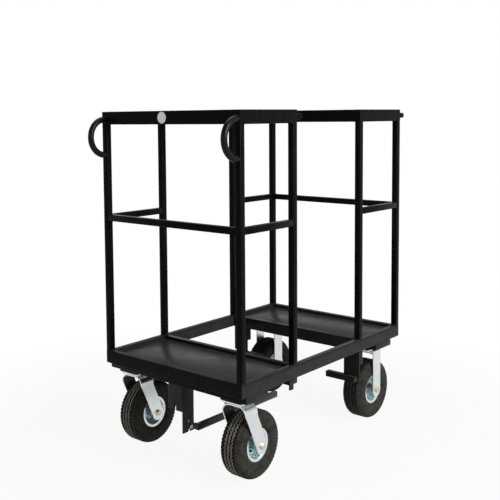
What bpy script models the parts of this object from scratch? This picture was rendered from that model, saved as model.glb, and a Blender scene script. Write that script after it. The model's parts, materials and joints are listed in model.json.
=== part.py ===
"""Stand cart: a welded steel cart that carries lighting stands upright.

Two open cages of square tube stand at the ends of a base frame, with an open well between
them. The push end rolls on two swivel casters and the far end on two rigid ones. A tow bar
is stowed under the push end. Units are metres, +X is away from the push end, +Z is up, and
the ground is at z = 0. Lengths along x are first measured from the middle of the frame.
"""

import math

import bpy

# Frame, overall
FRAME_LENGTH = 1.118
FRAME_WIDTH = 0.711
FRAME_TOP = 1.366
BAY_LENGTH = 0.3365
GAP = 0.0003

# Frame, tube sections
POST = 0.0254
POST_WALL = 0.0016
RAIL_TALL = 0.0508
RAIL_THICK = 0.0254
RAIL_WALL = 0.0016
MID_RAIL_HEIGHT = 0.9425
FLOOR_THICK = 0.002
FLOOR_DROP = 0.012

# Under the frame
CHANNEL_WIDTH = 0.127
CHANNEL_TALL = 0.0254
CHANNEL_WALL = 0.003
PUSH_CHANNEL_INSET = 0.089
FAR_CHANNEL_INSET = 0.1345
CROSS_MEMBER_WIDTH = 0.0508
CROSS_MEMBER_LAP = 0.0141
CROSS_MEMBER_INSET = 0.010
TAB_LONG = 0.026
TAB_THICK = 0.004
TAB_TALL = 0.024
DRAIN_RADIUS = 0.005

# Push handles, hanger rods and badge
HANDLE_TUBE = 0.0254
HANDLE_RADIUS = 0.070
HANDLE_DROP = 0.101
HANDLE_STEPS = 12
HANDLE_SIDES = 10
ROD_DIAMETER = 0.0222
ROD_STANDOFF = 0.0117
ROD_DROP = 0.0255
STANDOFF_LONG = 0.020
BADGE_DIAMETER = 0.044
BADGE_THICK = 0.0016
BADGE_Y = 0.020

# Casters
SWIVEL_HEIGHT = 0.3117
RIGID_HEIGHT = 0.3165
CASTER_INSET = 0.085
PLATE_LONG = 0.1143
PLATE_WIDE = 0.1016
PLATE_THICK = 0.0048
RIGID_PAD_THICK = 0.0047
BOLT_SPACING_X = 0.086
BOLT_SPACING_Y = 0.0735
BOLT_RADIUS = 0.0048
BOLT_HOLE_RADIUS = 0.0055
NUT_RADIUS = 0.0095
NUT_TALL = 0.0069
BOLT_END = 0.0015
BOLT_HEAD_TALL = 0.005
SWIVEL_INSET = 0.094
SWIVEL_TRAIL = 0.0557
RIGID_INSET = 0.141
RACE_RADIUS = 0.034
RACE_TALL = 0.0101
KINGPIN_RADIUS = 0.0095
KINGPIN_NUT_RADIUS = 0.015
KINGPIN_NUT_TALL = 0.010
FORK_THICK = 0.005
FORK_OUTER_HALF = 0.0575
FORK_EYE_RADIUS = 0.030
SWIVEL_FORK_BEND = 0.034
SWIVEL_CROWN_FRONT = 0.037
SWIVEL_CROWN_BACK = 0.031
RIGID_FORK_BEND = 0.012
RIGID_ARM_HALF = 0.030
RIGID_LIP_DROP = 0.018

# Wheels
WHEEL_STEPS = 24
TYRE_RADIUS = 0.128
TYRE_WIDTH = 0.094
TREAD_HALF = 0.027
TYRE_WALL = 0.013
RIM_FLANGE_RADIUS = 0.0635
RIM_SEAT_RADIUS = 0.0505
RIM_WELL_RADIUS = 0.044
RIM_HALF = 0.037
RIM_SHEET = 0.0025
HUB_RADIUS = 0.0215
BEARING_RADIUS = 0.0174
BEARING_STEPS = 16
AXLE_RADIUS = 0.0079
AXLE_HEAD_RADIUS = 0.0125
AXLE_HEAD_TALL = 0.008
SPACER_RADIUS = 0.0125
VALVE_RADIUS = 0.004
VALVE_LONG = 0.026

# Tow bar, its bracket and its keeper
BRACKET_INSET = 0.029
BRACKET_DEEP = 0.065
BRACKET_HALF = 0.038
BRACKET_SHEET = 0.006
BRACKET_FOOT = 0.136
BRACKET_SHORT_FOOT = 0.222
BRACKET_SLOT_WIDE = 0.010
BRACKET_SLOT_TOP = 0.262
TOW_PIN_INSET = 0.047
TOW_PIN_HEIGHT = 0.153
TOW_PIN_RADIUS = 0.0055
TOW_PIN_HEAD_RADIUS = 0.008
TOW_PIN_HEAD_TALL = 0.004
TOW_NOTCH_LEAN = 0.013
LOCK_HOLE_INSET = 0.038
LOCK_HOLE_HEIGHT = 0.176
LOCK_HOLE_RADIUS = 0.0036
LOCK_HOLE_LONG = 0.008
TOW_EYE_RADIUS = 0.012
TOW_EYE_THICK = 0.008
TOW_BAR_WIDE = 0.019
TOW_BAR_TALL = 0.0254
TOW_BAR_BOTTOM = 0.119
TOW_BAR_START = 0.052
TOW_BAR_LENGTH = 0.513
TOW_BAR_WALL = 0.002
TOW_SIDE_PLAY = 0.0005
KEEPER_SHEET = 0.004
KEEPER_WIDE = 0.020
KEEPER_PLAY = 0.001
KEEPER_LIP = 0.011
KEEPER_FOOT = 0.025

# Wheel guards
GUARD_SET_BACK = 0.025
GUARD_BRACKET_LONG = 0.076
GUARD_BRACKET_THICK = 0.0254
GUARD_BRACKET_DROP = 0.064
GUARD_BRACKET_WALL = 0.0025
GUARD_PLATE_THICK = 0.006
GUARD_BRACKET_INSET = 0.0505
GUARD_BAR_LENGTH = 0.143
GUARD_BAR_INSET = 0.103
GUARD_BAR_BOTTOM = 0.2045

# Heights and places worked out from the sizes above
CHANNEL_BOTTOM = RIGID_HEIGHT + RIGID_PAD_THICK + 2 * GAP
BASE_BOTTOM = CHANNEL_BOTTOM + CHANNEL_TALL + GAP
BASE_TOP = BASE_BOTTOM + RAIL_TALL
TOP_RAIL_BOTTOM = FRAME_TOP - RAIL_TALL
HALF_LENGTH = FRAME_LENGTH / 2
HALF_WIDTH = FRAME_WIDTH / 2
WELL_HALF = HALF_LENGTH - BAY_LENGTH
PUSH_CHANNEL_X = PUSH_CHANNEL_INSET - HALF_LENGTH
FAR_CHANNEL_X = HALF_LENGTH - FAR_CHANNEL_INSET
CROSS_MEMBER_X = -WELL_HALF - CROSS_MEMBER_LAP
HANDLE_HEIGHT = FRAME_TOP - HANDLE_DROP
ROD_HEIGHT = FRAME_TOP - ROD_DROP
CASTER_Y = HALF_WIDTH - CASTER_INSET
SWIVEL_X = SWIVEL_INSET - HALF_LENGTH
RIGID_X = HALF_LENGTH - RIGID_INSET
BRACKET_FRONT_X = BRACKET_INSET - HALF_LENGTH
BRACKET_BACK_X = BRACKET_FRONT_X + BRACKET_DEEP
TOW_PIN_X = BRACKET_FRONT_X + TOW_PIN_INSET
LOCK_HOLE_X = BRACKET_FRONT_X + LOCK_HOLE_INSET
GUARD_X = WELL_HALF + GUARD_SET_BACK
GUARD_BRACKET_Y = HALF_WIDTH - GUARD_BRACKET_INSET
GUARD_BAR_Y = HALF_WIDTH - GUARD_BAR_INSET
SWIVEL_PLATE_BOTTOM = SWIVEL_HEIGHT - PLATE_THICK
RIGID_PLATE_BOTTOM = RIGID_HEIGHT - PLATE_THICK
CROWN_TOP = SWIVEL_PLATE_BOTTOM - RACE_TALL - 2 * GAP
HANDLE_REACH = HANDLE_RADIUS + GAP + HANDLE_TUBE / 2 * math.cos(math.pi / HANDLE_SIDES)
ROD_REACH = ROD_STANDOFF + ROD_DIAMETER
CENTRE_SHIFT = (HANDLE_REACH - ROD_REACH) / 2


# Scene and materials


def clear_scene():
    for obj in list(bpy.data.objects):
        bpy.data.objects.remove(obj, do_unlink=True)


def make_material(name, colour, roughness, metallic):
    material = bpy.data.materials.new(name)
    material.use_nodes = True
    shader = material.node_tree.nodes["Principled BSDF"]
    shader.inputs["Base Color"].default_value = (*colour, 1.0)
    shader.inputs["Roughness"].default_value = roughness
    shader.inputs["Metallic"].default_value = metallic
    material.diffuse_color = (*colour, 1.0)
    return material


def powder_black(name):
    return make_material(name, (0.012, 0.012, 0.013), 0.42, 0.0)


def zinc(name):
    return make_material(name, (0.62, 0.64, 0.66), 0.32, 1.0)


def rubber(name):
    return make_material(name, (0.020, 0.020, 0.019), 0.75, 0.0)


def steel(name):
    return make_material(name, (0.55, 0.55, 0.56), 0.35, 1.0)


# Solids: each is a list of points and a list of faces that point outward


def moved(solid, x=0.0, y=0.0, z=0.0):
    points, faces = solid
    return [(a + x, b + y, c + z) for a, b, c in points], faces


def mirrored_y(solid):
    points, faces = solid
    return [(a, -b, c) for a, b, c in points], [tuple(reversed(f)) for f in faces]


def laid_along_y(solid):
    """Turns a solid built along x so that it runs along y."""
    points, faces = solid
    return [(-b, a, c) for a, b, c in points], faces


def upright(solid):
    """Turns a solid built along x so that it stands along z, its top face towards -x."""
    points, faces = solid
    return [(-c, b, a) for a, b, c in points], faces


def prism(outline, low, high, axis):
    """A straight prism. The outline is (u, v) points: xy for axis z, yz for x, zx for y."""
    order = {"z": (0, 1, 2), "x": (1, 2, 0), "y": (2, 0, 1)}[axis]
    area = sum(
        a[0] * b[1] - b[0] * a[1] for a, b in zip(outline, outline[1:] + outline[:1])
    )
    loop = outline if area > 0 else outline[::-1]
    points = []
    for w in (low, high):
        for u, v in loop:
            point = [0.0, 0.0, 0.0]
            for value, place in zip((u, v, w), order):
                point[place] = value
            points.append(tuple(point))
    n = len(loop)
    faces = [tuple(reversed(range(n))), tuple(range(n, 2 * n))]
    faces += [(i, (i + 1) % n, n + (i + 1) % n, n + i) for i in range(n)]
    return points, faces


def block(low, high):
    (x0, y0, z0), (x1, y1, z1) = low, high
    return prism([(x0, y0), (x1, y0), (x1, y1), (x0, y1)], z0, z1, "z")


def turned(profile, steps, axis, centre=(0.0, 0.0, 0.0)):
    """A ring turned from a closed profile of (radius, along) points about y or z.

    A profile point on the axis makes a pole, so the same function turns plain shafts.
    """
    area = sum(
        a[0] * b[1] - b[0] * a[1] for a, b in zip(profile, profile[1:] + profile[:1])
    )
    loop = profile if (area > 0) == (axis == "y") else profile[::-1]
    points, rings = [], []
    for radius, along in loop:
        count = 1 if radius == 0 else steps
        rings.append([len(points) + k % count for k in range(steps)])
        for k in range(count):
            angle = 2 * math.pi * k / steps
            a, b = radius * math.cos(angle), radius * math.sin(angle)
            local = (a, along, b) if axis == "y" else (a, b, along)
            points.append(tuple(p + c for p, c in zip(local, centre)))
    faces = []
    for ring, following in zip(rings, rings[1:] + rings[:1]):
        for k in range(steps):
            m = (k + 1) % steps
            corners = [ring[k], following[k], following[m], ring[m]]
            face = list(dict.fromkeys(corners))
            if len(face) > 2:
                faces.append(tuple(face))
    return points, faces


def hollow_bar(length, wide, tall, wall, mitre=0):
    """A square tube along x from 0, open at both ends.

    It is centred on y and stands on z = 0. With mitre 1, both ends are cut at 45 degrees
    and the -y side is the long one.
    """
    points = []
    for start in (True, False):
        for inset in (0.0, wall):
            y, z0, z1 = wide / 2 - inset, inset, tall - inset
            for v, w in ((-y, z0), (y, z0), (y, z1), (-y, z1)):
                cut = mitre * (v + wide / 2)
                points.append((cut if start else length - cut, v, w))
    faces = []
    for k in range(4):
        m = (k + 1) % 4
        faces.append((k, m, 8 + m, 8 + k)[::-1])
        faces.append((4 + k, 4 + m, 12 + m, 12 + k))
        faces.append((k, m, 4 + m, 4 + k))
        faces.append((8 + k, 8 + m, 12 + m, 12 + k)[::-1])
    return points, [tuple(reversed(f)) for f in faces]


def end_cap(length, wide, tall, wall):
    """A plate that closes the far end of a hollow bar. It reaches halfway into its wall."""
    y, low, high = (wide - wall) / 2, wall / 2, tall - wall / 2
    return block((length - wall, -y, low), (length, y, high))


def ring(long, wide, thick, low, high):
    """A rectangular ring about the z axis, with walls of one thickness."""
    points = []
    for z in (low, high):
        for inset in (0.0, thick):
            x, y = long / 2 - inset, wide / 2 - inset
            points += [(-x, -y, z), (x, -y, z), (x, y, z), (-x, y, z)]
    faces = []
    for k in range(4):
        m = (k + 1) % 4
        faces.append((k, m, 8 + m, 8 + k))
        faces.append((4 + m, 4 + k, 12 + k, 12 + m))
        faces.append((m, k, 4 + k, 4 + m))
        faces.append((8 + k, 8 + m, 12 + m, 12 + k))
    return points, faces


def tube_along(centres, across, radius, sides):
    """A round bar swept through points in the xz plane, with flat ends."""
    points = []
    count = len(centres)
    for (x, z), (tx, tz) in zip(centres, across):
        for k in range(sides):
            angle = 2 * math.pi * (k + 0.5) / sides
            a, b = radius * math.cos(angle), radius * math.sin(angle)
            points.append((x + a * tx, b, z + a * tz))
    last = (count - 1) * sides
    faces = [tuple(range(sides))[::-1], tuple(range(last, last + sides))]
    for i in range(0, last, sides):
        for k in range(sides):
            m = (k + 1) % sides
            faces.append((i + k, i + m, i + sides + m, i + sides + k))
    return points, faces


def arc(cx, cy, radius, start, end, steps):
    """Points on a circle from one angle to another, in degrees."""
    angles = [math.radians(start + (end - start) * k / steps) for k in range(steps + 1)]
    return [(cx + radius * math.cos(a), cy + radius * math.sin(a)) for a in angles]


def clear_bore(radius, steps):
    """The corner radius of a faceted hole whose flats clear a shaft by the gap."""
    return (radius + GAP) / math.cos(math.pi / steps)


# Objects


def make_empty(name, place, parent=None):
    empty = bpy.data.objects.new(name, None)
    empty.empty_display_size = 0.05
    empty.location = place
    empty.parent = parent
    bpy.context.scene.collection.objects.link(empty)
    return empty


def make_node(name, solids, material, parent, smooth=False):
    points, faces = [], []
    for solid_points, solid_faces in solids:
        start = len(points)
        points += solid_points
        faces += [tuple(start + i for i in face) for face in solid_faces]
    mesh = bpy.data.meshes.new(name)
    mesh.from_pydata(points, [], faces)
    if smooth:
        mesh.shade_smooth()
        mesh.set_sharp_from_angle(angle=math.radians(35))
    mesh.materials.append(material)
    obj = bpy.data.objects.new(name, mesh)
    obj.parent = parent
    bpy.context.scene.collection.objects.link(obj)
    return obj


def cut(obj, solids, parent, operation="DIFFERENCE"):
    """Cuts an object with a hidden helper made of the given solids."""
    helper = make_node(obj.name + "_cutter", solids, obj.data.materials[0], parent)
    helper.hide_render = True
    helper.display_type = "WIRE"
    modifier = obj.modifiers.new(operation.lower(), "BOOLEAN")
    modifier.operation = operation
    modifier.solver = "EXACT"
    modifier.object = helper
    return helper


# Base frame


def mitred_ring(long, wide, bottom, middle_x):
    """Four mitred tubes that make a rectangle: (sides along x, ends along y)."""
    run = long - 2 * GAP
    rise = wide - 2 * GAP
    side = hollow_bar(run, RAIL_THICK, RAIL_TALL, RAIL_WALL, 1)
    end = hollow_bar(rise, RAIL_THICK, RAIL_TALL, RAIL_WALL, 1)
    side_y = wide / 2 - RAIL_THICK / 2
    side = moved(side, x=-run / 2)
    near_side = moved(side, middle_x, -side_y, bottom)
    far_side = moved(mirrored_y(side), middle_x, side_y, bottom)
    end = moved(laid_along_y(end), y=-rise / 2)
    end_x = long / 2 - RAIL_THICK / 2
    after = moved(end, middle_x + end_x, 0.0, bottom)
    points, faces = end
    turned_end = [(-x, y, z) for x, y, z in points], [tuple(reversed(f)) for f in faces]
    before = moved(turned_end, middle_x - end_x, 0.0, bottom)
    return (near_side, far_side), (before, after)


def build_base(root, paint):
    sides, ends = mitred_ring(FRAME_LENGTH, FRAME_WIDTH, BASE_BOTTOM, 0.0)
    make_node("base_side_rail_right", [sides[0]], paint, root)
    make_node("base_side_rail_left", [sides[1]], paint, root)
    make_node("base_end_rail_push", [ends[0]], paint, root)
    make_node("base_end_rail_far", [ends[1]], paint, root)
    inner_width = FRAME_WIDTH - 2 * RAIL_THICK - 2 * GAP
    rail = laid_along_y(hollow_bar(inner_width, RAIL_THICK, RAIL_TALL, RAIL_WALL))
    rail_x = WELL_HALF + RAIL_THICK / 2
    rail = moved(rail, y=-inner_width / 2, z=BASE_BOTTOM)
    make_node("base_cross_rail_push", [moved(rail, -rail_x)], paint, root)
    make_node("base_cross_rail_far", [moved(rail, rail_x)], paint, root)


def build_floors(root, paint):
    top = BASE_TOP - FLOOR_DROP
    half = HALF_WIDTH - RAIL_THICK - GAP
    outer = HALF_LENGTH - RAIL_THICK - GAP
    inner = WELL_HALF + RAIL_THICK + GAP
    for name, x0, x1 in (("floor_push", -outer, -inner), ("floor_far", inner, outer)):
        sheet = block((x0, -half, top - FLOOR_THICK), (x1, half, top))
        make_node(name, [sheet], paint, root)


def build_channel(name, x, root, paint, caster_x, caster_height):
    """A flat tube across the frame, with a pad under it for each caster."""
    bottom, top = CHANNEL_BOTTOM, CHANNEL_BOTTOM + CHANNEL_TALL
    half, wall = CHANNEL_WIDTH / 2, CHANNEL_WALL
    tube = block((x - half, -HALF_WIDTH, bottom), (x + half, HALF_WIDTH, top))
    channel = make_node(name, [tube], paint, root)
    pad_bottom, pad_top = caster_height + GAP, bottom + wall / 2
    pads = [plate_block(caster_x, side * CASTER_Y, pad_bottom, pad_top) for side in (-1, 1)]
    cut(channel, pads, root, "UNION")
    room = block(
        (x - half + wall, wall - HALF_WIDTH, bottom + wall),
        (x + half - wall, HALF_WIDTH - wall, top - wall),
    )
    cut(channel, [room], root)
    holes = bolt_holes(bolt_places(caster_x), pad_bottom - 0.002, bottom + CHANNEL_TALL / 2)
    cut(channel, holes, root)


def bolt_places(caster_x):
    return [
        (caster_x + x, side * CASTER_Y + y) for side in (-1, 1) for x, y in plate_corners()
    ]


def plate_corners():
    half_x, half_y = BOLT_SPACING_X / 2, BOLT_SPACING_Y / 2
    return [(sx * half_x, sy * half_y) for sx in (-1, 1) for sy in (-1, 1)]


def bolt_holes(places, low, high):
    return [round_bar(BOLT_HOLE_RADIUS, low, high, 8, x, y) for x, y in places]


def round_bar(radius, low, high, sides, x, y):
    return prism(arc(x, y, radius, 0, 360, sides)[:-1], low, high, "z")


def build_underframe(root, paint):
    build_channel(
        "caster_channel_push", PUSH_CHANNEL_X, root, paint, SWIVEL_X, SWIVEL_HEIGHT
    )
    build_channel("caster_channel_far", FAR_CHANNEL_X, root, paint, RIGID_X, RIGID_HEIGHT)
    build_cross_member(root, paint)


def build_cross_member(root, paint):
    """A flat tube under the well's edge, with a tie tab under each end."""
    half, wall = CROSS_MEMBER_WIDTH / 2, CHANNEL_WALL
    end = HALF_WIDTH - CROSS_MEMBER_INSET
    low, high = CHANNEL_BOTTOM, CHANNEL_BOTTOM + CHANNEL_TALL
    x = CROSS_MEMBER_X
    member = make_node(
        "underframe_cross_member",
        [block((x - half, -end, low), (x + half, end, high))],
        paint,
        root,
    )
    tab_y = end - CROSS_MEMBER_INSET
    tabs = [
        block(
            (x - TAB_LONG / 2, side * tab_y - TAB_THICK / 2, low - TAB_TALL),
            (x + TAB_LONG / 2, side * tab_y + TAB_THICK / 2, low + wall / 2),
        )
        for side in (-1, 1)
    ]
    cut(member, tabs, root, "UNION")
    room = block(
        (x - half + wall, wall - end, low + wall), (x + half - wall, end - wall, high - wall)
    )
    cut(member, [room], root)
    cut(member, [round_bar(DRAIN_RADIUS, low - 0.002, low + 2 * wall, 8, x, 0.15)], root)


# Cages


def build_cage(name, direction, root, paint):
    """One open cage. Direction is -1 at the push end and 1 at the far end."""
    middle = direction * (HALF_LENGTH - BAY_LENGTH / 2)
    rail_y = HALF_WIDTH - POST / 2
    build_side_frame(f"{name}_side_frame_right", middle, -rail_y, root, paint)
    build_side_frame(f"{name}_side_frame_left", middle, rail_y, root, paint)
    build_top_ring(f"{name}_top_ring", middle, root, paint)
    length = FRAME_WIDTH - 2 * POST - 2 * GAP
    rail = laid_along_y(hollow_bar(length, POST, POST, POST_WALL))
    end_x = middle + direction * (BAY_LENGTH / 2 - POST / 2)
    rail = moved(rail, end_x, -length / 2, MID_RAIL_HEIGHT - POST / 2)
    make_node(f"{name}_end_mid_rail", [rail], paint, root)


def h_outline(half_long, thick, low, high, rail_low, rail_high):
    """The outline of two posts and the rail between them, as (z, x) points."""
    outer, inner = half_long, half_long - thick
    corners = [(low, inner), (rail_low, inner), (rail_low, -inner), (low, -inner)]
    corners += [(low, -outer), (high, -outer)]
    corners += [(high, -inner), (rail_high, -inner), (rail_high, inner), (high, inner)]
    return corners + [(high, outer), (low, outer)]


def build_side_frame(name, x, y, root, paint):
    """Two posts with a rail welded between them, all hollow, open at the post ends."""
    low, high = BASE_TOP + GAP, TOP_RAIL_BOTTOM - GAP
    rail_low = MID_RAIL_HEIGHT - POST / 2
    rail_high = rail_low + POST
    half, wall = POST / 2, POST_WALL
    outer = h_outline(BAY_LENGTH / 2, POST, low, high, rail_low, rail_high)
    frame = make_node(name, [moved(prism(outer, y - half, y + half, "y"), x)], paint, root)
    room = h_outline(
        BAY_LENGTH / 2 - wall,
        POST - 2 * wall,
        low - 0.01,
        high + 0.01,
        rail_low + wall,
        rail_high - wall,
    )
    cut(frame, [moved(prism(room, y - half + wall, y + half - wall, "y"), x)], root)


def build_top_ring(name, x, root, paint):
    """Four hollow rails welded into a ring. Its hollow opens into the posts below."""
    low, high, wall = TOP_RAIL_BOTTOM, FRAME_TOP, RAIL_WALL
    solid = ring(BAY_LENGTH, FRAME_WIDTH, RAIL_THICK, low, high)
    rails = make_node(name, [moved(solid, x)], paint, root)
    room = ring(
        BAY_LENGTH - 2 * wall,
        FRAME_WIDTH - 2 * wall,
        RAIL_THICK - 2 * wall,
        low + wall,
        high - wall,
    )
    cut(rails, [moved(room, x)], root)
    half = POST / 2 - 2 * POST_WALL
    centre_x, centre_y = BAY_LENGTH / 2 - POST / 2, HALF_WIDTH - POST / 2
    holes = [
        moved(
            block((-half, -half, low - 0.002), (half, half, low + 2 * wall)),
            x + sx * centre_x,
            sy * centre_y,
        )
        for sx in (-1, 1)
        for sy in (-1, 1)
    ]
    cut(rails, holes, root)


# Handles, hanger rods and badge


def build_handles(root, paint):
    angles = [math.pi / 2 + math.pi * k / HANDLE_STEPS for k in range(HANDLE_STEPS + 1)]
    across = [(math.cos(a), math.sin(a)) for a in angles]
    centres = [
        (HANDLE_RADIUS * u - HALF_LENGTH - GAP, HANDLE_RADIUS * v + HANDLE_HEIGHT)
        for u, v in across
    ]
    handle = tube_along(centres, across, HANDLE_TUBE / 2, HANDLE_SIDES)
    y = HALF_WIDTH - POST / 2
    make_node("push_handle_right", [moved(handle, y=-y)], paint, root, smooth=True)
    make_node("push_handle_left", [moved(handle, y=y)], paint, root, smooth=True)


def build_hanger_rods(root, paint):
    """Two round rods across the cart, held off the top rails by short standoffs."""
    radius = ROD_DIAMETER / 2
    outline = arc(0, 0, radius, 0, 360, 16)[:-1]
    faces_x = {"push": -WELL_HALF, "far": HALF_LENGTH}
    side_y = HALF_WIDTH - STANDOFF_LONG / 2 - 0.001
    for name, face_x in faces_x.items():
        x = face_x + ROD_STANDOFF + radius
        shape = [(v + ROD_HEIGHT, u + x) for u, v in outline]
        rod = prism(shape, -HALF_WIDTH, HALF_WIDTH, "y")
        node = make_node(f"hanger_rod_{name}", [rod], paint, root, smooth=True)
        standoffs = [
            block(
                (face_x + GAP, y - STANDOFF_LONG / 2, ROD_HEIGHT - radius / 2),
                (x, y + STANDOFF_LONG / 2, ROD_HEIGHT + radius / 2),
            )
            for y in (-side_y, 0.0, side_y)
        ]
        cut(node, standoffs, root, "UNION")


def build_badge(root, metal):
    radius = BADGE_DIAMETER / 2
    face_x = -HALF_LENGTH - GAP
    height = TOP_RAIL_BOTTOM + RAIL_TALL / 2
    outline = [(BADGE_Y + u, height + v) for u, v in arc(0, 0, radius, 0, 360, 24)[:-1]]
    disc = prism(outline, face_x - BADGE_THICK, face_x, "x")
    make_node("badge_disc", [disc], metal, root)


# Casters


def plate_block(x, y, low, high):
    return block(
        (x - PLATE_LONG / 2, y - PLATE_WIDE / 2, low),
        (x + PLATE_LONG / 2, y + PLATE_WIDE / 2, high),
    )


def caster_bolt(x, y, plate_bottom):
    """A bolt with its head inside the channel and its nut under the caster plate."""
    nut_bottom = plate_bottom - NUT_TALL
    nut_top = plate_bottom + PLATE_THICK / 2
    head_bottom = CHANNEL_BOTTOM + CHANNEL_WALL + GAP
    head_top = head_bottom + BOLT_HEAD_TALL
    profile = [
        (0.0, nut_bottom - BOLT_END),
        (BOLT_RADIUS, nut_bottom - BOLT_END),
        (BOLT_RADIUS, nut_bottom),
        (NUT_RADIUS, nut_bottom),
        (NUT_RADIUS, nut_top),
        (BOLT_RADIUS, nut_top),
        (BOLT_RADIUS, head_bottom),
        (NUT_RADIUS, head_bottom),
        (NUT_RADIUS, head_top),
        (0.0, head_top),
    ]
    return turned(profile, 6, "z", (x, y, 0.0))


def fork_bow(top, bend, reach):
    """The bent sheet of a fork: an upside-down U, long in x, to be cut to its side shape."""
    low = TYRE_RADIUS - FORK_EYE_RADIUS - 0.01
    outer, inner = FORK_OUTER_HALF, FORK_OUTER_HALF - FORK_THICK
    small = bend - FORK_THICK
    knee = top - bend
    outline = [(outer, low)]
    outline += arc(outer - bend, knee, bend, 0, 90, 6)
    outline += arc(bend - outer, knee, bend, 90, 180, 6)
    outline += [(-outer, low), (-inner, low)]
    outline += arc(small - inner, knee, small, 180, 90, 6)
    outline += arc(inner - small, knee, small, 90, 0, 6)
    outline += [(inner, low)]
    return prism(outline, reach[0], reach[1], "x")


def swivel_side_shape():
    """The raked side of a swivel fork, seen along y with its swivel axis at x = 0."""
    eye = arc(SWIVEL_TRAIL, TYRE_RADIUS, FORK_EYE_RADIUS, 188, 380, 10)
    knee = CROWN_TOP - SWIVEL_FORK_BEND
    front = [(-SWIVEL_CROWN_FRONT, CROWN_TOP + 0.01), (-SWIVEL_CROWN_FRONT, knee)]
    back = [(SWIVEL_CROWN_BACK, knee - 0.007), (SWIVEL_CROWN_BACK, CROWN_TOP + 0.01)]
    return front + eye + back


def rigid_side_shape():
    half = RIGID_ARM_HALF
    top = RIGID_PLATE_BOTTOM + 0.01
    return [(-half, top)] + arc(0.0, TYRE_RADIUS, half, 180, 360, 10) + [(half, top)]


def rigid_lip(end):
    """The crown of a rigid fork is turned down at its front or back edge."""
    inset = 0.0005
    half = FORK_OUTER_HALF - inset
    bend = RIGID_FORK_BEND + PLATE_THICK / 2 - inset
    knee = RIGID_PLATE_BOTTOM + PLATE_THICK / 2 - inset - bend
    low = RIGID_PLATE_BOTTOM - RIGID_LIP_DROP
    outline = [(half, low)] + arc(half - bend, knee, bend, 0, 90, 6)
    outline += arc(bend - half, knee, bend, 90, 180, 6) + [(-half, low)]
    face = end * (RIGID_ARM_HALF - inset)
    back, front = sorted((face, face - end * FORK_THICK))
    return prism(outline, back, front, "x")


def build_fork(name, parent, metal, bow, shape):
    fork = make_node(name, [bow], metal, parent)
    side = prism([(z, x) for x, z in shape], -0.08, 0.08, "y")
    cut(fork, [side], parent, "INTERSECT")
    return fork


def axle_hole(x):
    points = arc(x, TYRE_RADIUS, clear_bore(AXLE_RADIUS, 12), 0, 360, 12)[:-1]
    return prism([(z, u) for u, z in points], -0.09, 0.09, "y")


def build_wheel(name, place, fork_parent, valve_angle, looks):
    """The axle stays with the fork. The rim, its bearing and the tyre turn."""
    axle_home = make_empty(f"{name}_axle_home", place, fork_parent)
    axle = turned(axle_profile(), 12, "y")
    make_node(f"{name}_axle", [axle], looks["steel"], axle_home, smooth=True)
    hub = make_empty(f"{name}_wheel_centre", place, fork_parent)
    wheel = turned(rim_profile(), WHEEL_STEPS, "y")
    rim = make_node(f"{name}_rim", [wheel], looks["zinc"], hub, smooth=True)
    cut(rim, [valve_solid(valve_angle)], hub, "UNION")
    bearing = turned(bearing_profile(), BEARING_STEPS, "y")
    make_node(f"{name}_hub_bearing", [bearing], looks["steel"], hub, smooth=True)
    tyre = turned(tyre_profile(), WHEEL_STEPS, "y")
    make_node(f"{name}_tyre", [tyre], looks["rubber"], hub, smooth=True)


def axle_profile():
    """An axle bolt with its nut, and a spacer between the hub and each fork arm."""
    face = FORK_OUTER_HALF + GAP
    end = face + AXLE_HEAD_TALL
    hub_face, arm_face = RIM_HALF + GAP, FORK_OUTER_HALF - FORK_THICK - GAP
    half = [
        (0.0, end),
        (AXLE_HEAD_RADIUS, end),
        (AXLE_HEAD_RADIUS, face),
        (AXLE_RADIUS, face),
        (AXLE_RADIUS, arm_face),
        (SPACER_RADIUS, arm_face),
        (SPACER_RADIUS, hub_face),
        (AXLE_RADIUS, hub_face),
    ]
    return half + [(r, -y) for r, y in reversed(half)]


def rim_profile():
    """A drop-centre rim, its disc and its hub as one closed section."""
    seat, well, sheet = RIM_SEAT_RADIUS, RIM_WELL_RADIUS, RIM_SHEET
    half = [
        (well, 0.018),
        (seat, RIM_HALF - 0.0045),
        (RIM_FLANGE_RADIUS, RIM_HALF - sheet),
        (RIM_FLANGE_RADIUS, RIM_HALF),
        (seat - sheet, RIM_HALF - sheet),
        (well - sheet, 0.018 - sheet / 2),
        (well - sheet, sheet),
        (HUB_RADIUS, sheet),
        (HUB_RADIUS, RIM_HALF),
        (clear_bore(BEARING_RADIUS, BEARING_STEPS), RIM_HALF),
    ]
    return half + [(r, -y) for r, y in reversed(half)]


def bearing_profile():
    """The roller bearing, a sleeve as long as the hub."""
    bore = clear_bore(AXLE_RADIUS, 12) / math.cos(math.pi / BEARING_STEPS)
    outer = BEARING_RADIUS
    return [(bore, -RIM_HALF), (outer, -RIM_HALF), (outer, RIM_HALF), (bore, RIM_HALF)]


def tyre_profile():
    """A closed tyre section that is open towards the rim, where the inner tube goes."""
    half = TYRE_WIDTH / 2
    bead = RIM_HALF - RIM_SHEET - 0.0010
    outer = [
        (TYRE_RADIUS, TREAD_HALF),
        (TYRE_RADIUS - 0.0050, half - 0.0085),
        (TYRE_RADIUS - 0.0200, half - 0.0005),
        (TYRE_RADIUS - 0.0400, half),
        (RIM_FLANGE_RADIUS + 0.0065, half - 0.0060),
        (RIM_FLANGE_RADIUS - 0.0010, bead),
        (RIM_SEAT_RADIUS + 2 * GAP, bead - 0.0025),
        (RIM_SEAT_RADIUS + 2 * GAP, bead - 0.0025 - TYRE_WALL / 2),
        (TYRE_RADIUS - TYRE_WALL, half - TYRE_WALL),
    ]
    return outer + [(r, -y) for r, y in reversed(outer)]


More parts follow.
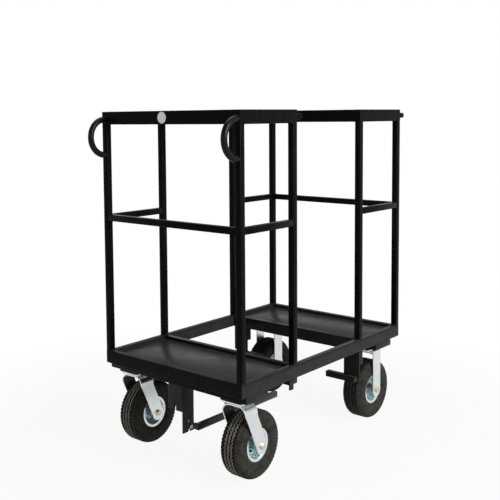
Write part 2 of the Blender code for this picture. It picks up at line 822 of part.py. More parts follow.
def valve_solid(angle):
    """The valve stem stands out of the rim's disc beside the hub, on the -y side."""
    reach = (RIM_WELL_RADIUS - RIM_SHEET + HUB_RADIUS) / 2
    x = reach * math.cos(math.radians(angle))
    z = reach * math.sin(math.radians(angle))
    outline = [(z + v, x + u) for u, v in arc(0, 0, VALVE_RADIUS, 0, 360, 8)[:-1]]
    return prism(outline, -RIM_SHEET - VALVE_LONG, 0.0, "y")


def build_swivel_caster(side, sign, root, valve_angle, looks):
    y = sign * CASTER_Y
    name = f"swivel_{side}"
    fixed = make_empty(f"{name}_mount", (SWIVEL_X, y, 0.0), root)
    turning = make_empty(f"{name}_axis", (SWIVEL_X, y, 0.0), root)
    plate = plate_block(0.0, 0.0, SWIVEL_PLATE_BOTTOM, SWIVEL_HEIGHT)
    top_plate = make_node(f"{name}_top_plate", [plate], looks["zinc"], fixed)
    bolts = [caster_bolt(u, v, SWIVEL_PLATE_BOTTOM) for u, v in plate_corners()]
    cut(top_plate, bolts, fixed, "UNION")
    pin_bore = clear_bore(KINGPIN_RADIUS, 16)
    low, high = SWIVEL_PLATE_BOTTOM - 0.002, SWIVEL_HEIGHT + 0.002
    pin_hole = round_bar(pin_bore, low, high, 16, 0, 0)
    cut(top_plate, [pin_hole], fixed)
    race = turned(race_profile(pin_bore), 16, "z")
    make_node(f"{name}_bearing_race", [race], looks["zinc"], fixed, smooth=True)
    kingpin = turned(kingpin_profile(), 16, "z")
    make_node(f"{name}_kingpin", [kingpin], looks["steel"], fixed, smooth=True)
    fork = build_fork(
        f"{name}_fork",
        turning,
        looks["zinc"],
        fork_bow(CROWN_TOP, SWIVEL_FORK_BEND, (-0.08, 0.10)),
        swivel_side_shape(),
    )
    crown_hole = round_bar(pin_bore, CROWN_TOP - 0.02, CROWN_TOP + 0.02, 16, 0, 0)
    cut(fork, [axle_hole(SWIVEL_TRAIL), crown_hole], turning)
    place = (SWIVEL_TRAIL, 0.0, TYRE_RADIUS)
    build_wheel(name, place, turning, valve_angle, looks)


def race_profile(bore):
    """The ball race between the plate and the fork's crown."""
    low, high = CROWN_TOP + GAP, SWIVEL_PLATE_BOTTOM - GAP
    rim = RACE_RADIUS - 0.002
    middle = (low + high) / 2
    return [(bore, low), (rim, low), (RACE_RADIUS, middle), (rim, high), (bore, high)]


def kingpin_profile():
    crown_bottom = CROWN_TOP - FORK_THICK - GAP
    return [
        (0.0, crown_bottom - KINGPIN_NUT_TALL),
        (KINGPIN_NUT_RADIUS, crown_bottom - KINGPIN_NUT_TALL),
        (KINGPIN_NUT_RADIUS, crown_bottom),
        (KINGPIN_RADIUS, crown_bottom),
        (KINGPIN_RADIUS, SWIVEL_HEIGHT - GAP),
        (0.0, SWIVEL_HEIGHT - GAP),
    ]


def build_rigid_caster(side, sign, root, valve_angle, looks):
    """The fork of a rigid caster is welded to its plate."""
    name = f"rigid_{side}"
    home = make_empty(f"{name}_mount", (RIGID_X, sign * CASTER_Y, 0.0), root)
    top = RIGID_PLATE_BOTTOM + PLATE_THICK / 2
    bow = fork_bow(top, RIGID_FORK_BEND + PLATE_THICK / 2, (-0.05, 0.05))
    fork = build_fork(f"{name}_fork", home, looks["zinc"], bow, rigid_side_shape())
    cut(fork, [axle_hole(0.0)], home)
    cut(fork, [rigid_lip(-1), rigid_lip(1)], home, "UNION")
    plate = plate_block(0.0, 0.0, RIGID_PLATE_BOTTOM, RIGID_HEIGHT)
    cut(fork, [plate], home, "UNION")
    bolts = [caster_bolt(u, v, RIGID_PLATE_BOTTOM) for u, v in plate_corners()]
    cut(fork, bolts, home, "UNION")
    place = (0.0, 0.0, TYRE_RADIUS)
    build_wheel(name, place, home, valve_angle, looks)


# Tow bar


def build_tow_bracket(root, paint):
    """A folded bracket under the push end. Its right cheek is the long one."""
    top = CHANNEL_BOTTOM - GAP
    x0, x1, half, sheet = BRACKET_FRONT_X, BRACKET_BACK_X, BRACKET_HALF, BRACKET_SHEET
    outline = [
        (x0, -half),
        (x1, -half),
        (x1, sheet - half),
        (x0 + sheet, sheet - half),
        (x0 + sheet, half - sheet),
        (x1, half - sheet),
        (x1, half),
        (x0, half),
    ]
    bracket = make_node("tow_bracket", [prism(outline, BRACKET_FOOT, top, "z")], paint, root)
    low = BRACKET_FOOT - 0.01
    cheek = sheet - half + GAP
    front = block((x0 - 0.01, -half - 0.01, low), (x0 + sheet + GAP, half + 0.01, BRACKET_SHORT_FOOT))
    rest = block((x0 + sheet, cheek, low), (x1 + 0.01, half + 0.01, BRACKET_SHORT_FOOT))
    slot_half = BRACKET_SLOT_WIDE / 2
    slot = block((x0 - 0.01, -slot_half, low), (x0 + sheet + 0.01, slot_half, BRACKET_SLOT_TOP))
    cut(bracket, [front], root)
    cut(bracket, [rest], root)
    cut(bracket, [slot], root)
    cut(bracket, [tow_notch(), lock_hole()], root)


def tow_notch():
    """The open seat of the tow pin: it leans towards the front and opens downward."""
    radius = clear_bore(TOW_PIN_RADIUS, 12)
    low = BRACKET_FOOT - 0.01
    seat = arc(TOW_PIN_X, TOW_PIN_HEIGHT, radius, -30, 150, 8)
    mouth = [(TOW_PIN_X - TOW_NOTCH_LEAN - radius, low), (TOW_PIN_X - TOW_NOTCH_LEAN + radius, low)]
    outline = [(z, x) for x, z in seat + mouth]
    return prism(outline, -BRACKET_HALF - 0.01, -BRACKET_HALF + BRACKET_SHEET + 0.01, "y")


def lock_hole():
    x, z, radius, lift = LOCK_HOLE_X, LOCK_HOLE_HEIGHT, LOCK_HOLE_RADIUS, LOCK_HOLE_LONG / 2
    ends = arc(x, z + lift, radius, 0, 180, 6) + arc(x, z - lift, radius, 180, 360, 6)
    outline = [(v, u) for u, v in ends]
    return prism(outline, -BRACKET_HALF - 0.01, -BRACKET_HALF + BRACKET_SHEET + 0.01, "y")


def build_tow_bar(root, paint, metal):
    """The bar hangs on its pin and lies in the keeper. Its home empty is on the pin."""
    home = make_empty("tow_bar_axis", (TOW_PIN_X, 0.0, TOW_PIN_HEIGHT), root)
    near_face = BRACKET_SHEET - BRACKET_HALF + TOW_SIDE_PLAY
    bottom = TOW_BAR_BOTTOM - TOW_PIN_HEIGHT
    start = TOW_BAR_START
    sizes = (TOW_BAR_LENGTH, TOW_BAR_WIDE, TOW_BAR_TALL, TOW_BAR_WALL)
    middle_y = near_face + TOW_BAR_WIDE / 2
    bar = make_node(
        "tow_bar", [moved(hollow_bar(*sizes), start, middle_y, bottom)], paint, home
    )
    cut(bar, [moved(end_cap(*sizes), start, middle_y, bottom)], home, "UNION")
    lap, inset = start + 0.02, TOW_BAR_WALL / 2
    outline = [(lap, bottom + inset), (lap, bottom + TOW_BAR_TALL - inset)]
    outline += arc(0, 0, TOW_EYE_RADIUS, 70, 240, 8)
    lug_face = near_face + inset
    lug = prism([(z, x) for x, z in outline], lug_face, lug_face + TOW_EYE_THICK, "y")
    cut(bar, [lug], home, "UNION")
    bore = arc(0, 0, clear_bore(TOW_PIN_RADIUS, 12), 0, 360, 12)[:-1]
    hole = prism([(v, u) for u, v in bore], near_face - 0.01, near_face + 0.03, "y")
    cut(bar, [hole], home)
    pin_home = make_empty("tow_pin_home", (TOW_PIN_X, 0.0, TOW_PIN_HEIGHT), root)
    pin = turned(tow_pin_profile(lug_face + TOW_EYE_THICK + GAP), 12, "y")
    make_node("tow_pin", [pin], metal, pin_home, smooth=True)


def tow_pin_profile(tail_face):
    head_face = -BRACKET_HALF - GAP
    radius, head, tall = TOW_PIN_RADIUS, TOW_PIN_HEAD_RADIUS, TOW_PIN_HEAD_TALL
    return [
        (0.0, head_face - tall),
        (head, head_face - tall),
        (head, head_face),
        (radius, head_face),
        (radius, tail_face),
        (head, tail_face),
        (head, tail_face + tall),
        (0.0, tail_face + tall),
    ]


def build_keeper(root, paint):
    """A bent strap under the cross member that the free end of the tow bar lies in."""
    near_face = BRACKET_SHEET - BRACKET_HALF + TOW_SIDE_PLAY
    sheet, play = KEEPER_SHEET, KEEPER_PLAY
    front, back = near_face - play, near_face + TOW_BAR_WIDE + play
    floor, top = TOW_BAR_BOTTOM - GAP, CHANNEL_BOTTOM - GAP
    outline = [
        (front - sheet, floor - sheet),
        (back + sheet, floor - sheet),
        (back + sheet, top - sheet),
        (back + KEEPER_FOOT, top - sheet),
        (back + KEEPER_FOOT, top),
        (back, top),
        (back, floor),
        (front, floor),
        (front, floor + KEEPER_LIP),
        (front - sheet, floor + KEEPER_LIP),
    ]
    start = CROSS_MEMBER_X - KEEPER_WIDE / 2
    make_node("tow_bar_keeper", [prism(outline, start, start + KEEPER_WIDE, "x")], paint, root)


# Wheel guards


def build_guard(side, sign, root, paint):
    """A drop bracket and a cross bar that keep hanging legs off a rigid wheel's tyre."""
    top = BASE_BOTTOM - GAP
    half = GUARD_BRACKET_LONG / 2
    y = sign * GUARD_BRACKET_Y
    tube = hollow_bar(
        GUARD_BRACKET_DROP, GUARD_BRACKET_LONG, GUARD_BRACKET_THICK, GUARD_BRACKET_WALL
    )
    stub = upright(tube)
    stub = moved(stub, GUARD_X + GUARD_BRACKET_THICK, y, top - GUARD_BRACKET_DROP)
    bracket = make_node(f"guard_bracket_{side}", [stub], paint, root)
    plate_bottom = GUARD_BAR_BOTTOM + POST + GAP
    plate_x = GUARD_X + GUARD_BRACKET_WALL / 2
    plate = block(
        (plate_x - GUARD_PLATE_THICK, y - half, plate_bottom), (plate_x, y + half, top)
    )
    cut(bracket, [plate], root, "UNION")
    sizes = (GUARD_BAR_LENGTH, POST, POST, POST_WALL)
    middle_x = plate_x - GUARD_PLATE_THICK / 2
    tube, cap = hollow_bar(*sizes), end_cap(*sizes)
    solids = [laid_along_y(moved(solid, -GUARD_BAR_LENGTH / 2)) for solid in (tube, cap)]
    if sign < 0:
        solids = [mirrored_y(solid) for solid in solids]
    solids = [moved(s, middle_x, sign * GUARD_BAR_Y, GUARD_BAR_BOTTOM) for s in solids]
    bar = make_node(f"guard_bar_{side}", solids[:1], paint, root)
    cut(bar, solids[1:], root, "UNION")


def main():
    clear_scene()
    root = make_empty("cart", (CENTRE_SHIFT, 0.0, 0.0))
    paint = powder_black("black_powder_coat")
    looks = {
        "zinc": zinc("zinc_plate"),
        "rubber": rubber("tyre_rubber"),
        "steel": steel("plain_steel"),
    }
    build_base(root, paint)
    build_floors(root, paint)
    build_underframe(root, paint)
    build_cage("push_cage", -1, root, paint)
    build_cage("far_cage", 1, root, paint)
    build_handles(root, paint)
    build_hanger_rods(root, paint)
    build_badge(root, looks["steel"])
    for side, sign, swivel_valve, rigid_valve in (("right", -1, 216, 150), ("left", 1, 40, 300)):
        build_swivel_caster(side, sign, root, swivel_valve, looks)
        build_rigid_caster(side, sign, root, rigid_valve, looks)
        build_guard(side, sign, root, paint)
    build_tow_bracket(root, paint)
    build_tow_bar(root, paint, looks["steel"])
    build_keeper(root, paint)


main()
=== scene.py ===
# %% [markdown]
# # A stand cart
# The cart is a welded frame of square steel tube on four air-filled wheels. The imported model
# already says where every piece is, so this lesson only gives each piece its fine shape and
# its finish. Lengths are in metres, +X runs away from the push handles and +Z is up.

import json
import math

import bmesh
import bpy
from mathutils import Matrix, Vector


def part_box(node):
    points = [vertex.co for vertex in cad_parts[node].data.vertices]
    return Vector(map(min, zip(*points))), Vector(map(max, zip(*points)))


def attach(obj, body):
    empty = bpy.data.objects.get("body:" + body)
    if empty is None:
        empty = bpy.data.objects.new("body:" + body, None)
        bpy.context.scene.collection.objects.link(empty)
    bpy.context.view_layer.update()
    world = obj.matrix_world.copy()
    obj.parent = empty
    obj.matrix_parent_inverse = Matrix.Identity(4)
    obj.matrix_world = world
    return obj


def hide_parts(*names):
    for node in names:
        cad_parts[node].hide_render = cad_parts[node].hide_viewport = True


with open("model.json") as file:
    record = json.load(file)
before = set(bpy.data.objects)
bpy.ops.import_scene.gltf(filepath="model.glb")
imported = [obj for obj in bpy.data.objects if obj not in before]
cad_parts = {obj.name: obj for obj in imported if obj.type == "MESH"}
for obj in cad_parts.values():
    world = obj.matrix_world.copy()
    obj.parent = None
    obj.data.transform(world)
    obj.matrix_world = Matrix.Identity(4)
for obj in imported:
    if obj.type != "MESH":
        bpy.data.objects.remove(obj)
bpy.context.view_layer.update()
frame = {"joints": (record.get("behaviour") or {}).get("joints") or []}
joint_place = {joint["name"]: Vector(joint["pos_m"]) for joint in frame["joints"]}

# %% [markdown]
# ## Colours and nodes
# Colours are written as the sRGB hex codes that a picture editor shows. Blender's sockets
# want linear light, so one function turns the codes. The others add shader nodes and wire
# them, which keeps each material short enough to read.
#
# Some inputs go by number. A Map Range takes its input 0 from the range 1 to 2 to the range
# 3 to 4, which is 0 to 1 where nothing is said. A Mix goes by its share, input 0, from colour
# 6 to colour 7, or from plain number 2 to plain number 3.

# %% Colour and node helpers
MM = 0.001


def linear(code):
    channels = [int(code[i : i + 2], 16) / 255 for i in (1, 3, 5)]
    return (*[c / 12.92 if c <= 0.04045 else ((c + 0.055) / 1.055) ** 2.4 for c in channels], 1.0)


def wire(node, inputs):
    """Sets inputs of a node. Each is a number, a colour, or an output to wire in."""
    for socket, value in inputs.items():
        if isinstance(value, bpy.types.NodeSocket):
            node.id_data.links.new(value, node.inputs[socket])
        else:
            node.inputs[socket].default_value = value


def add(tree, kind, inputs, out=0, **settings):
    """Adds a shader node with its settings and inputs, and returns one of its outputs."""
    node = tree.nodes.new("ShaderNode" + kind)
    for name, value in settings.items():
        setattr(node, name, value)
    wire(node, inputs)
    return node.outputs[out]


def start_material(name):
    print("finish", name)
    material = bpy.data.materials.new(name)
    material.use_nodes = True
    tree = material.node_tree
    return material, tree.nodes["Principled BSDF"], tree, add(tree, "TexCoord", {}, "Object")


# %% [markdown]
# ## Black powder coat
# The frame is mild steel tube with a semi-gloss black powder coat. Powder melts into a skin
# with a faint orange peel. It stays nearly black up high, and the base rails, which are
# kicked, strapped and rained on, carry a grey film of dust. The film is painted thicker on
# faces that look along y, where the key lamp falls, so part of it is painted light. To the
# eye that is deep black with a soft streak of light along each tube, and a paler, duller
# frame below. Each finish says how scuffed it is, how thick its film of dust and painted
# light is, and how much the skin shines.


# %% Powder coat
def powder_coat(name, paint, worn, scuff, dust_and_painted_light_film, shine):
    material, shader, tree, place = start_material(name)
    # Orange peel is about 1.5 mm from crest to crest. It is drawn at 3 mm to show at all.
    peel = add(tree, "TexNoise", {"Vector": place, "Scale": 1 / (3 * MM), "Detail": 2.0})
    # Handling dulls the skin in patches some 60 mm wide.
    patch = add(tree, "TexNoise", {"Vector": place, "Scale": 1 / (60 * MM), "Detail": 5.0})
    tone = add(tree, "MapRange", {0: patch, 1: 0.35, 2: 0.7})
    dull = add(tree, "MapRange", {0: patch, 1: 0.3, 2: 0.7, 3: 0.26, 4: 0.4})
    # Scuffs are short and broken, a few millimetres long.
    fleck = add(tree, "TexNoise", {"Vector": place, "Scale": 1 / (7 * MM), "Detail": 8.0})
    mark = add(tree, "MapRange", {0: fleck, 1: 0.64, 2: 0.74, 4: scuff})
    mark = add(tree, "Math", {0: mark, 1: tone}, operation="MULTIPLY")
    # The film of dust fades out between the base rails and the cages. It is painted heaviest on
    # the long sides, whose faces look along y towards the key lamp: that share is painted light.
    facing = add(tree, "NewGeometry", {}, "Normal")
    side = add(tree, "Math", {0: add(tree, "SeparateXYZ", {0: facing}, "Y")}, operation="ABSOLUTE")
    side = add(tree, "MapRange", {0: side, 1: 0.3, 2: 0.8, 3: 0.45 * dust_and_painted_light_film, 4: dust_and_painted_light_film})
    height = add(tree, "SeparateXYZ", {0: place}, "Z")
    low = add(tree, "MapRange", {0: height, 1: 410 * MM, 2: 385 * MM, 4: side})
    uneven = add(tree, "MapRange", {0: patch, 1: 0.2, 2: 0.7, 3: 0.6})
    dust_and_painted_light = add(tree, "Math", {0: low, 1: uneven}, operation="MULTIPLY")
    # Dust also settles on faces that look up.
    upward = add(tree, "SeparateXYZ", {0: facing}, "Z")
    lying = add(tree, "MapRange", {0: upward, 1: 0.6, 2: 1.0, 4: 0.08})
    colour = linear(paint)
    # The grey film is dust, and on the lit long sides it is painted light as well.
    for share, code in ((tone, worn), (dust_and_painted_light, "#51524e"), (mark, "#6f6c68"), (lying, "#8a857c")):
        layer = {0: share, 6: colour, 7: linear(code)}
        colour = add(tree, "Mix", layer, 2, data_type="RGBA")
    bump = add(tree, "Bump", {"Height": peel, "Strength": 0.15, "Distance": 0.2 * MM})
    wire(shader, {"Base Color": colour, "Roughness": dull, "Normal": bump})
    # Carbon black drinks light, so the skin shines less than clear plastic does.
    wire(shader, {"Specular IOR Level": shine})
    return material


# The fifth number is the film of dust and painted light: dust low down, painted heavier on the lit
# long sides.
FRAME_BLACK = powder_coat("powder_coat_black", "#070807", "#0e0f0d", 0.05, 0.34, 0.03)
FLOOR_BLACK = powder_coat("powder_coat_worn_floor", "#0f0f0f", "#1a1918", 0.5, 0.15, 0.08)
HANDLE_BLACK = powder_coat("powder_coat_rubbed_handles", "#060606", "#0b0b0b", 0.05, 0.0, 0.13)
TOW_BLACK = powder_coat("powder_coat_tow_gear", "#161716", "#20211f", 0.4, 0.34, 0.14)

# %% [markdown]
# ## Bright zinc plate
# Forks, plates and rims are pressed from sheet steel and zinc plated with a clear-blue
# passivation. Zinc is a mid-grey metal, and the passivation swings it between a cold blue
# and a faint straw yellow in clouds. Dipping and drying leave it a little hazy, so the
# roughness wanders as well. The dish of a rim is painted darker and bluer than its lip, as
# painted shade and a painted reflection of the dark tyre and fork round it. A brass valve
# stem tarnishes in the same clouds.


# %% Zinc plate
def zinc_plate(name, cold, warm, smooth, hazy):
    material, shader, tree, place = start_material(name)
    # Colour clouds are about 35 mm across, and the dull bloom in them about 12 mm.
    cloud = add(tree, "TexNoise", {"Vector": place, "Scale": 1 / (35 * MM), "Detail": 2.0})
    bloom = add(tree, "TexNoise", {"Vector": place, "Scale": 1 / (12 * MM), "Detail": 3.0})
    swing = add(tree, "MapRange", {0: cloud, 1: 0.35, 2: 0.65})
    tint = {0: swing, 6: linear(cold), 7: linear(warm)}
    tint = add(tree, "Mix", tint, 2, data_type="RGBA")
    haze = add(tree, "MapRange", {0: bloom, 1: 0.3, 2: 0.7, 3: smooth, 4: hazy})
    bump = add(tree, "Bump", {"Height": bloom, "Strength": 0.02, "Distance": 0.2 * MM})
    wire(shader, {"Base Color": tint, "Roughness": haze, "Metallic": 1.0, "Normal": bump})
    return material


ZINC = zinc_plate("zinc_plated_sheet", "#d4dbde", "#dfe0dd", 0.28, 0.34)
# The rim dish zinc is darker and bluer: painted shade and painted reflection.
RIM_DISH_PAINTED_SHADE = zinc_plate("zinc_plated_rim_dish_painted_shade", "#abc0c9", "#bccacd", 0.4, 0.48)
ZINC_BOLT = zinc_plate("zinc_plated_bolts", "#c4c4b9", "#cfc9b0", 0.36, 0.46)
BRASS = zinc_plate("brass_valve_stem", "#8a6d3a", "#9c8048", 0.3, 0.42)

# %% [markdown]
# ## Machined steel and brushed aluminium
# Pins and axles are turned steel: fine rings round the shaft that stretch a highlight along
# it. The blank badge is a disc of aluminium, brushed one way, so its grain runs in long
# parallel lines. Both are one noise texture squeezed along the cut.


# %% Machined and brushed metal
def lined_metal(name, colour, dark, grain, rough):
    """A metal with fine lines. The grain is the size of its noise along x, y and z, in mm."""
    material, shader, tree, place = start_material(name)
    squeeze = {0: place, 1: [1 / (size * MM) for size in grain]}
    squeeze = add(tree, "VectorMath", squeeze, operation="MULTIPLY")
    lines = add(tree, "TexNoise", {"Vector": squeeze, "Scale": 1.0, "Detail": 4.0})
    tint = {0: lines, 6: linear(dark), 7: linear(colour)}
    tint = add(tree, "Mix", tint, 2, data_type="RGBA")
    bump = add(tree, "Bump", {"Height": lines, "Strength": 0.2, "Distance": 0.05 * MM})
    wire(shader, {"Base Color": tint, "Roughness": rough, "Metallic": 1.0, "Normal": bump})
    return material


# Turning marks are 0.2 mm apart and are drawn at 0.8 mm, as rings round a shaft along y.
TURNED_STEEL = lined_metal("machined_steel", "#b9b9b6", "#9a9a98", (30, 0.8, 30), 0.3)
# Brushing lines are 0.1 mm wide and are drawn at 0.6 mm, along y.
BADGE_METAL = lined_metal("brushed_aluminium", "#c6c7c8", "#a5a6a8", (30, 30, 0.6), 0.34)

# %% [markdown]
# ## Tyre rubber
# Black rubber with carbon in it is really a dark warm grey once it has rolled over floors.
# Dust clings to the sidewalls. The ribs of the swivel wheels are painted much lighter, as dust
# and as painted light where little lamp light reaches the tread. The grooves are painted
# darker than the rest, as painted shade in the recesses. So a swivel tyre has three materials:
# for its sidewalls, its shaded grooves and its dusty, painted-light ribs.


# %% Rubber
def rubber(name, colour, dust_and_painted_light, amount):
    material, shader, tree, place = start_material(name)
    # Dust lies in smears about 20 mm wide. Moulded rubber has a grain near 0.5 mm, drawn at 1.
    smear = add(tree, "TexNoise", {"Vector": place, "Scale": 1 / (20 * MM), "Detail": 6.0})
    grain = add(tree, "TexNoise", {"Vector": place, "Scale": 1 / (1 * MM), "Detail": 2.0})
    dust_and_painted_light_film = {0: smear, 1: 0.38, 2: 0.62, 3: 0.2 * amount, 4: amount}
    tint = {0: add(tree, "MapRange", dust_and_painted_light_film), 6: linear(colour), 7: linear(dust_and_painted_light)}
    tint = add(tree, "Mix", tint, 2, data_type="RGBA")
    bump = add(tree, "Bump", {"Height": grain, "Strength": 0.3, "Distance": 0.2 * MM})
    wire(shader, {"Base Color": tint, "Normal": bump})
    wire(shader, {"Roughness": 0.72, "Specular IOR Level": 0.2})
    return material


TYRE = rubber("tyre_rubber_sidewall", "#10110e", "#3b3a33", 0.62)
# The swivel tread rubber is much lighter: dust, and painted light for lamp light the tread misses.
TREAD_DUST_AND_PAINTED_LIGHT = rubber("tyre_rubber_tread_dust_and_painted_light", "#6c685f", "#aa9f90", 0.6)
# The grooves are darker than the sidewalls: painted shade in the recesses.
TYRE_GROOVE_PAINTED_SHADE = rubber("tyre_rubber_groove_painted_shade", "#070707", "#12110f", 0.3)
CAP_RUBBER = rubber("valve_rubber", "#141414", "#302e2b", 0.4)

# %% [markdown]
# ## Shapes as lists of points
# Every piece starts as a list of points and a list of faces. A bar is a rounded section
# pushed along a line, a turned part is a profile spun round an axis, and a pressed part is a
# flat outline given thickness. Blender then works out which way the faces look, and shading
# is smooth up to a crease angle.

# %% Pieces
MICRON = 1e-6


def in_scene(name, data):
    made = bpy.data.objects.new(name, data)
    bpy.context.scene.collection.objects.link(made)
    return made


def outward_mesh(name, points, faces, join=False):
    """A mesh whose faces look outwards. Joining merges the points that lie together."""
    mesh = bpy.data.meshes.new(name)
    mesh.from_pydata(points, [], faces)
    shape = bmesh.new()
    shape.from_mesh(mesh)
    if join:
        bmesh.ops.remove_doubles(shape, verts=shape.verts, dist=MICRON)
        bmesh.ops.dissolve_degenerate(shape, edges=shape.edges, dist=0.1 * MICRON)
    bmesh.ops.recalc_face_normals(shape, faces=shape.faces)
    shape.to_mesh(mesh)
    shape.free()
    return mesh


def piece(
    name, solids, stands_for=(), finish=FRAME_BLACK, body="frame", bevel=0, crease=50
):
    """Joins solids into one object that rides on a body and stands for CAD nodes."""
    points, faces = [], []
    for solid_points, solid_faces in solids:
        start = len(points)
        points += solid_points
        faces += [[start + i for i in face] for face in solid_faces]
    mesh = outward_mesh(name, points, faces, join=True)
    mesh.shade_smooth()
    mesh.materials.append(finish)
    made = in_scene(name, mesh)
    if bevel:
        edges = made.modifiers.new("edges", "BEVEL")
        edges.width = bevel
        edges.segments = 2
        edges.limit_method = "ANGLE"
        edges.angle_limit = math.radians(crease)
        edges.harden_normals = True
    else:
        mesh.set_sharp_from_angle(angle=math.radians(crease))
    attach(made, body)
    if stands_for:
        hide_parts(*stands_for)
    print(name, len(mesh.polygons), "faces")
    return made


# %% Outlines
FILLET_STEPS = 5


def arc(cx, cy, radius, start, end, steps):
    angles = [math.radians(start + (end - start) * k / steps) for k in range(steps + 1)]
    return [(cx + radius * math.cos(a), cy + radius * math.sin(a)) for a in angles]


def rounded_box(wide, tall, radius, steps):
    """A rounded rectangle round the origin."""
    u, v = wide / 2 - radius, tall / 2 - radius
    outline = []
    for cu, cv, start in ((u, v, 0), (-u, v, 90), (-u, -v, 180), (u, -v, 270)):
        outline += arc(cu, cv, radius, start, start + 90, steps)
    return outline


def filleted(corners):
    """Rounds the corners of an outline. Each corner is (u, v, radius)."""
    outline = []
    for i, (u, v, radius) in enumerate(corners):
        here = Vector((u, v))
        before = Vector(corners[i - 1][:2]) - here
        after = Vector(corners[(i + 1) % len(corners)][:2]) - here
        if radius <= 0:
            outline.append((u, v))
            continue
        half = before.angle(after) / 2
        reach = min(radius / math.tan(half), 0.49 * before.length, 0.49 * after.length)
        first, last = here + before.normalized() * reach, here + after.normalized() * reach
        for k in range(FILLET_STEPS + 1):
            t = k / FILLET_STEPS
            # A quadratic curve through the corner is close to an arc and never overshoots.
            point = (1 - t) ** 2 * first + 2 * t * (1 - t) * here + t**2 * last
            outline.append(tuple(point))
    return outline


def in_mm(points):
    return [(u * MM, v * MM) for u, v in points]


def mirrored(half):
    """A profile of (radius, height) and its mirror image below."""
    return half + [(r, -h) for r, h in reversed(half)]


# %% Solids
AXES = {"x": (1, 2, 0), "y": (2, 0, 1), "z": (0, 1, 2)}


def placed(u, v, height, along, origin=(0.0, 0.0, 0.0)):
    """A point across an axis and up it, as xyz. Across is yz for x, zx for y and xy for z."""
    point = list(origin)
    for axis, shift in zip(AXES[along], (u, v, height)):
        point[axis] += shift
    return tuple(point)


def loft(loops, closed=False):
    """Joins loops of equal length by a skin, and caps the first and the last if it is open."""
    n = len(loops[0])
    points = [p for loop in loops for p in loop]
    faces = []
    for i in range(len(loops) if closed else len(loops) - 1):
        a, b = i * n, (i + 1) % len(loops) * n
        faces += [[a + k, a + (k + 1) % n, b + (k + 1) % n, b + k] for k in range(n)]
    if not closed:
        last = (len(loops) - 1) * n
        faces += [list(range(n))[::-1], list(range(last, last + n))]
    return points, faces


def slab(outline, along, low, high):
    return loft([[placed(u, v, h, along) for u, v in outline] for h in (low, high)])


def side_slab(outline, low, high):
    """A slab across y, from an outline of (x, z)."""
    return slab([(z, x) for x, z in outline], "y", low, high)


def bar(low, high, along, corner=2.5 * MM, lip=0.8 * MM):
    """A bar with rounded long edges and softened ends that fills a box."""
    iu, iv, iw = AXES[along]
    middle = [(a + b) / 2 for a, b in zip(low, high)]
    middle[iw] = 0.0
    wide, tall = high[iu] - low[iu], high[iv] - low[iv]
    corner = min(corner, 0.49 * wide, 0.49 * tall)
    ends = ((low[iw], 1), (low[iw] + 0.3 * lip, 0.3), (low[iw] + lip, 0))
    ends += ((high[iw] - lip, 0), (high[iw] - 0.3 * lip, 0.3), (high[iw], 1))
    loops = []
    for height, share in ends:
        inset = 2 * lip * share
        section = rounded_box(wide - inset, tall - inset, corner, 3)
        loops.append([placed(u, v, height, along, middle) for u, v in section])
    return loft(loops)


def turned(profile, along, centre, steps, turn=0.0):
    """Spins a closed profile of (radius, height) points round an axis."""
    loops = []
    for k in range(steps):
        angle = 2 * math.pi * k / steps + math.radians(turn)
        c, s = math.cos(angle), math.sin(angle)
        loops.append([placed(r * c, r * s, h, along, centre) for r, h in profile])
    return loft(loops, closed=True)


def swept(path, normal, radius, sides, closed=False):
    """A round tube through points that lie in one plane. The radius may be a function."""
    normal = Vector(normal).normalized()
    loops = []
    for i, point in enumerate(path):
        before = Vector(path[i - 1] if closed or i else path[0])
        after = Vector(path[(i + 1) % len(path)] if closed or i < len(path) - 1 else path[-1])
        side = (after - before).normalized().cross(normal)
        size = radius(i / (len(path) - 1)) if callable(radius) else radius
        ring = []
        for k in range(sides):
            angle = 2 * math.pi * k / sides
            offset = side * math.cos(angle) + normal * math.sin(angle)
            ring.append(tuple(Vector(point) + offset * size))
        loops.append(ring)
    return loft(loops, closed=closed)


def carved(solid, tool, operation="DIFFERENCE"):
    """Cuts a solid by another with Blender's exact Boolean, and returns points and faces."""
    made, cutter = [in_scene("carving", outward_mesh("carving", *s)) for s in (solid, tool)]
    cut = made.modifiers.new("cut", "BOOLEAN")
    cut.operation = operation
    cut.solver = "EXACT"
    cut.object = cutter
    bpy.context.view_layer.update()
    graph = bpy.context.evaluated_depsgraph_get()
    result = bpy.data.meshes.new_from_object(made.evaluated_get(graph))
    for carving in (made, cutter):
        bpy.data.objects.remove(carving)
    return [tuple(v.co) for v in result.vertices], [list(p.vertices) for p in result.polygons]


def shifted(solid, dx, dy):
    points, faces = solid
    return [(x + dx, y + dy, z) for x, y, z in points], faces


# %% Boxes
def box_of(*names):
    """The box round one or more nodes."""
    boxes = [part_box(name) for name in names]
    low = [min(b[0][i] for b in boxes) for i in range(3)]
    high = [max(b[1][i] for b in boxes) for i in range(3)]
    return low, high


# %% [markdown]
# ## The welded frame
# The rails are 2 by 1 inch tube and the posts 1 inch square tube. Rolled tube has rounded
# corners, about 2.5 mm here, and each rail frame is mitred: its four tubes meet on the
# diagonal and the outside of the weld is ground flush. One section carried round the
# rectangle gives exactly that.

# %% Mitred rail frames
RAIL_THICK = 25.4 * MM
TUBE_CORNER = 2.5 * MM
REACH = 0.5 * MM  # The tubes meet, where the CAD model leaves a gap.
CAGES, SIDES, ENDS = ("push_cage", "far_cage"), ("right", "left"), ("push", "far")
BASE = [f"base_side_rail_{side}" for side in SIDES] + [f"base_end_rail_{end}" for end in ENDS]


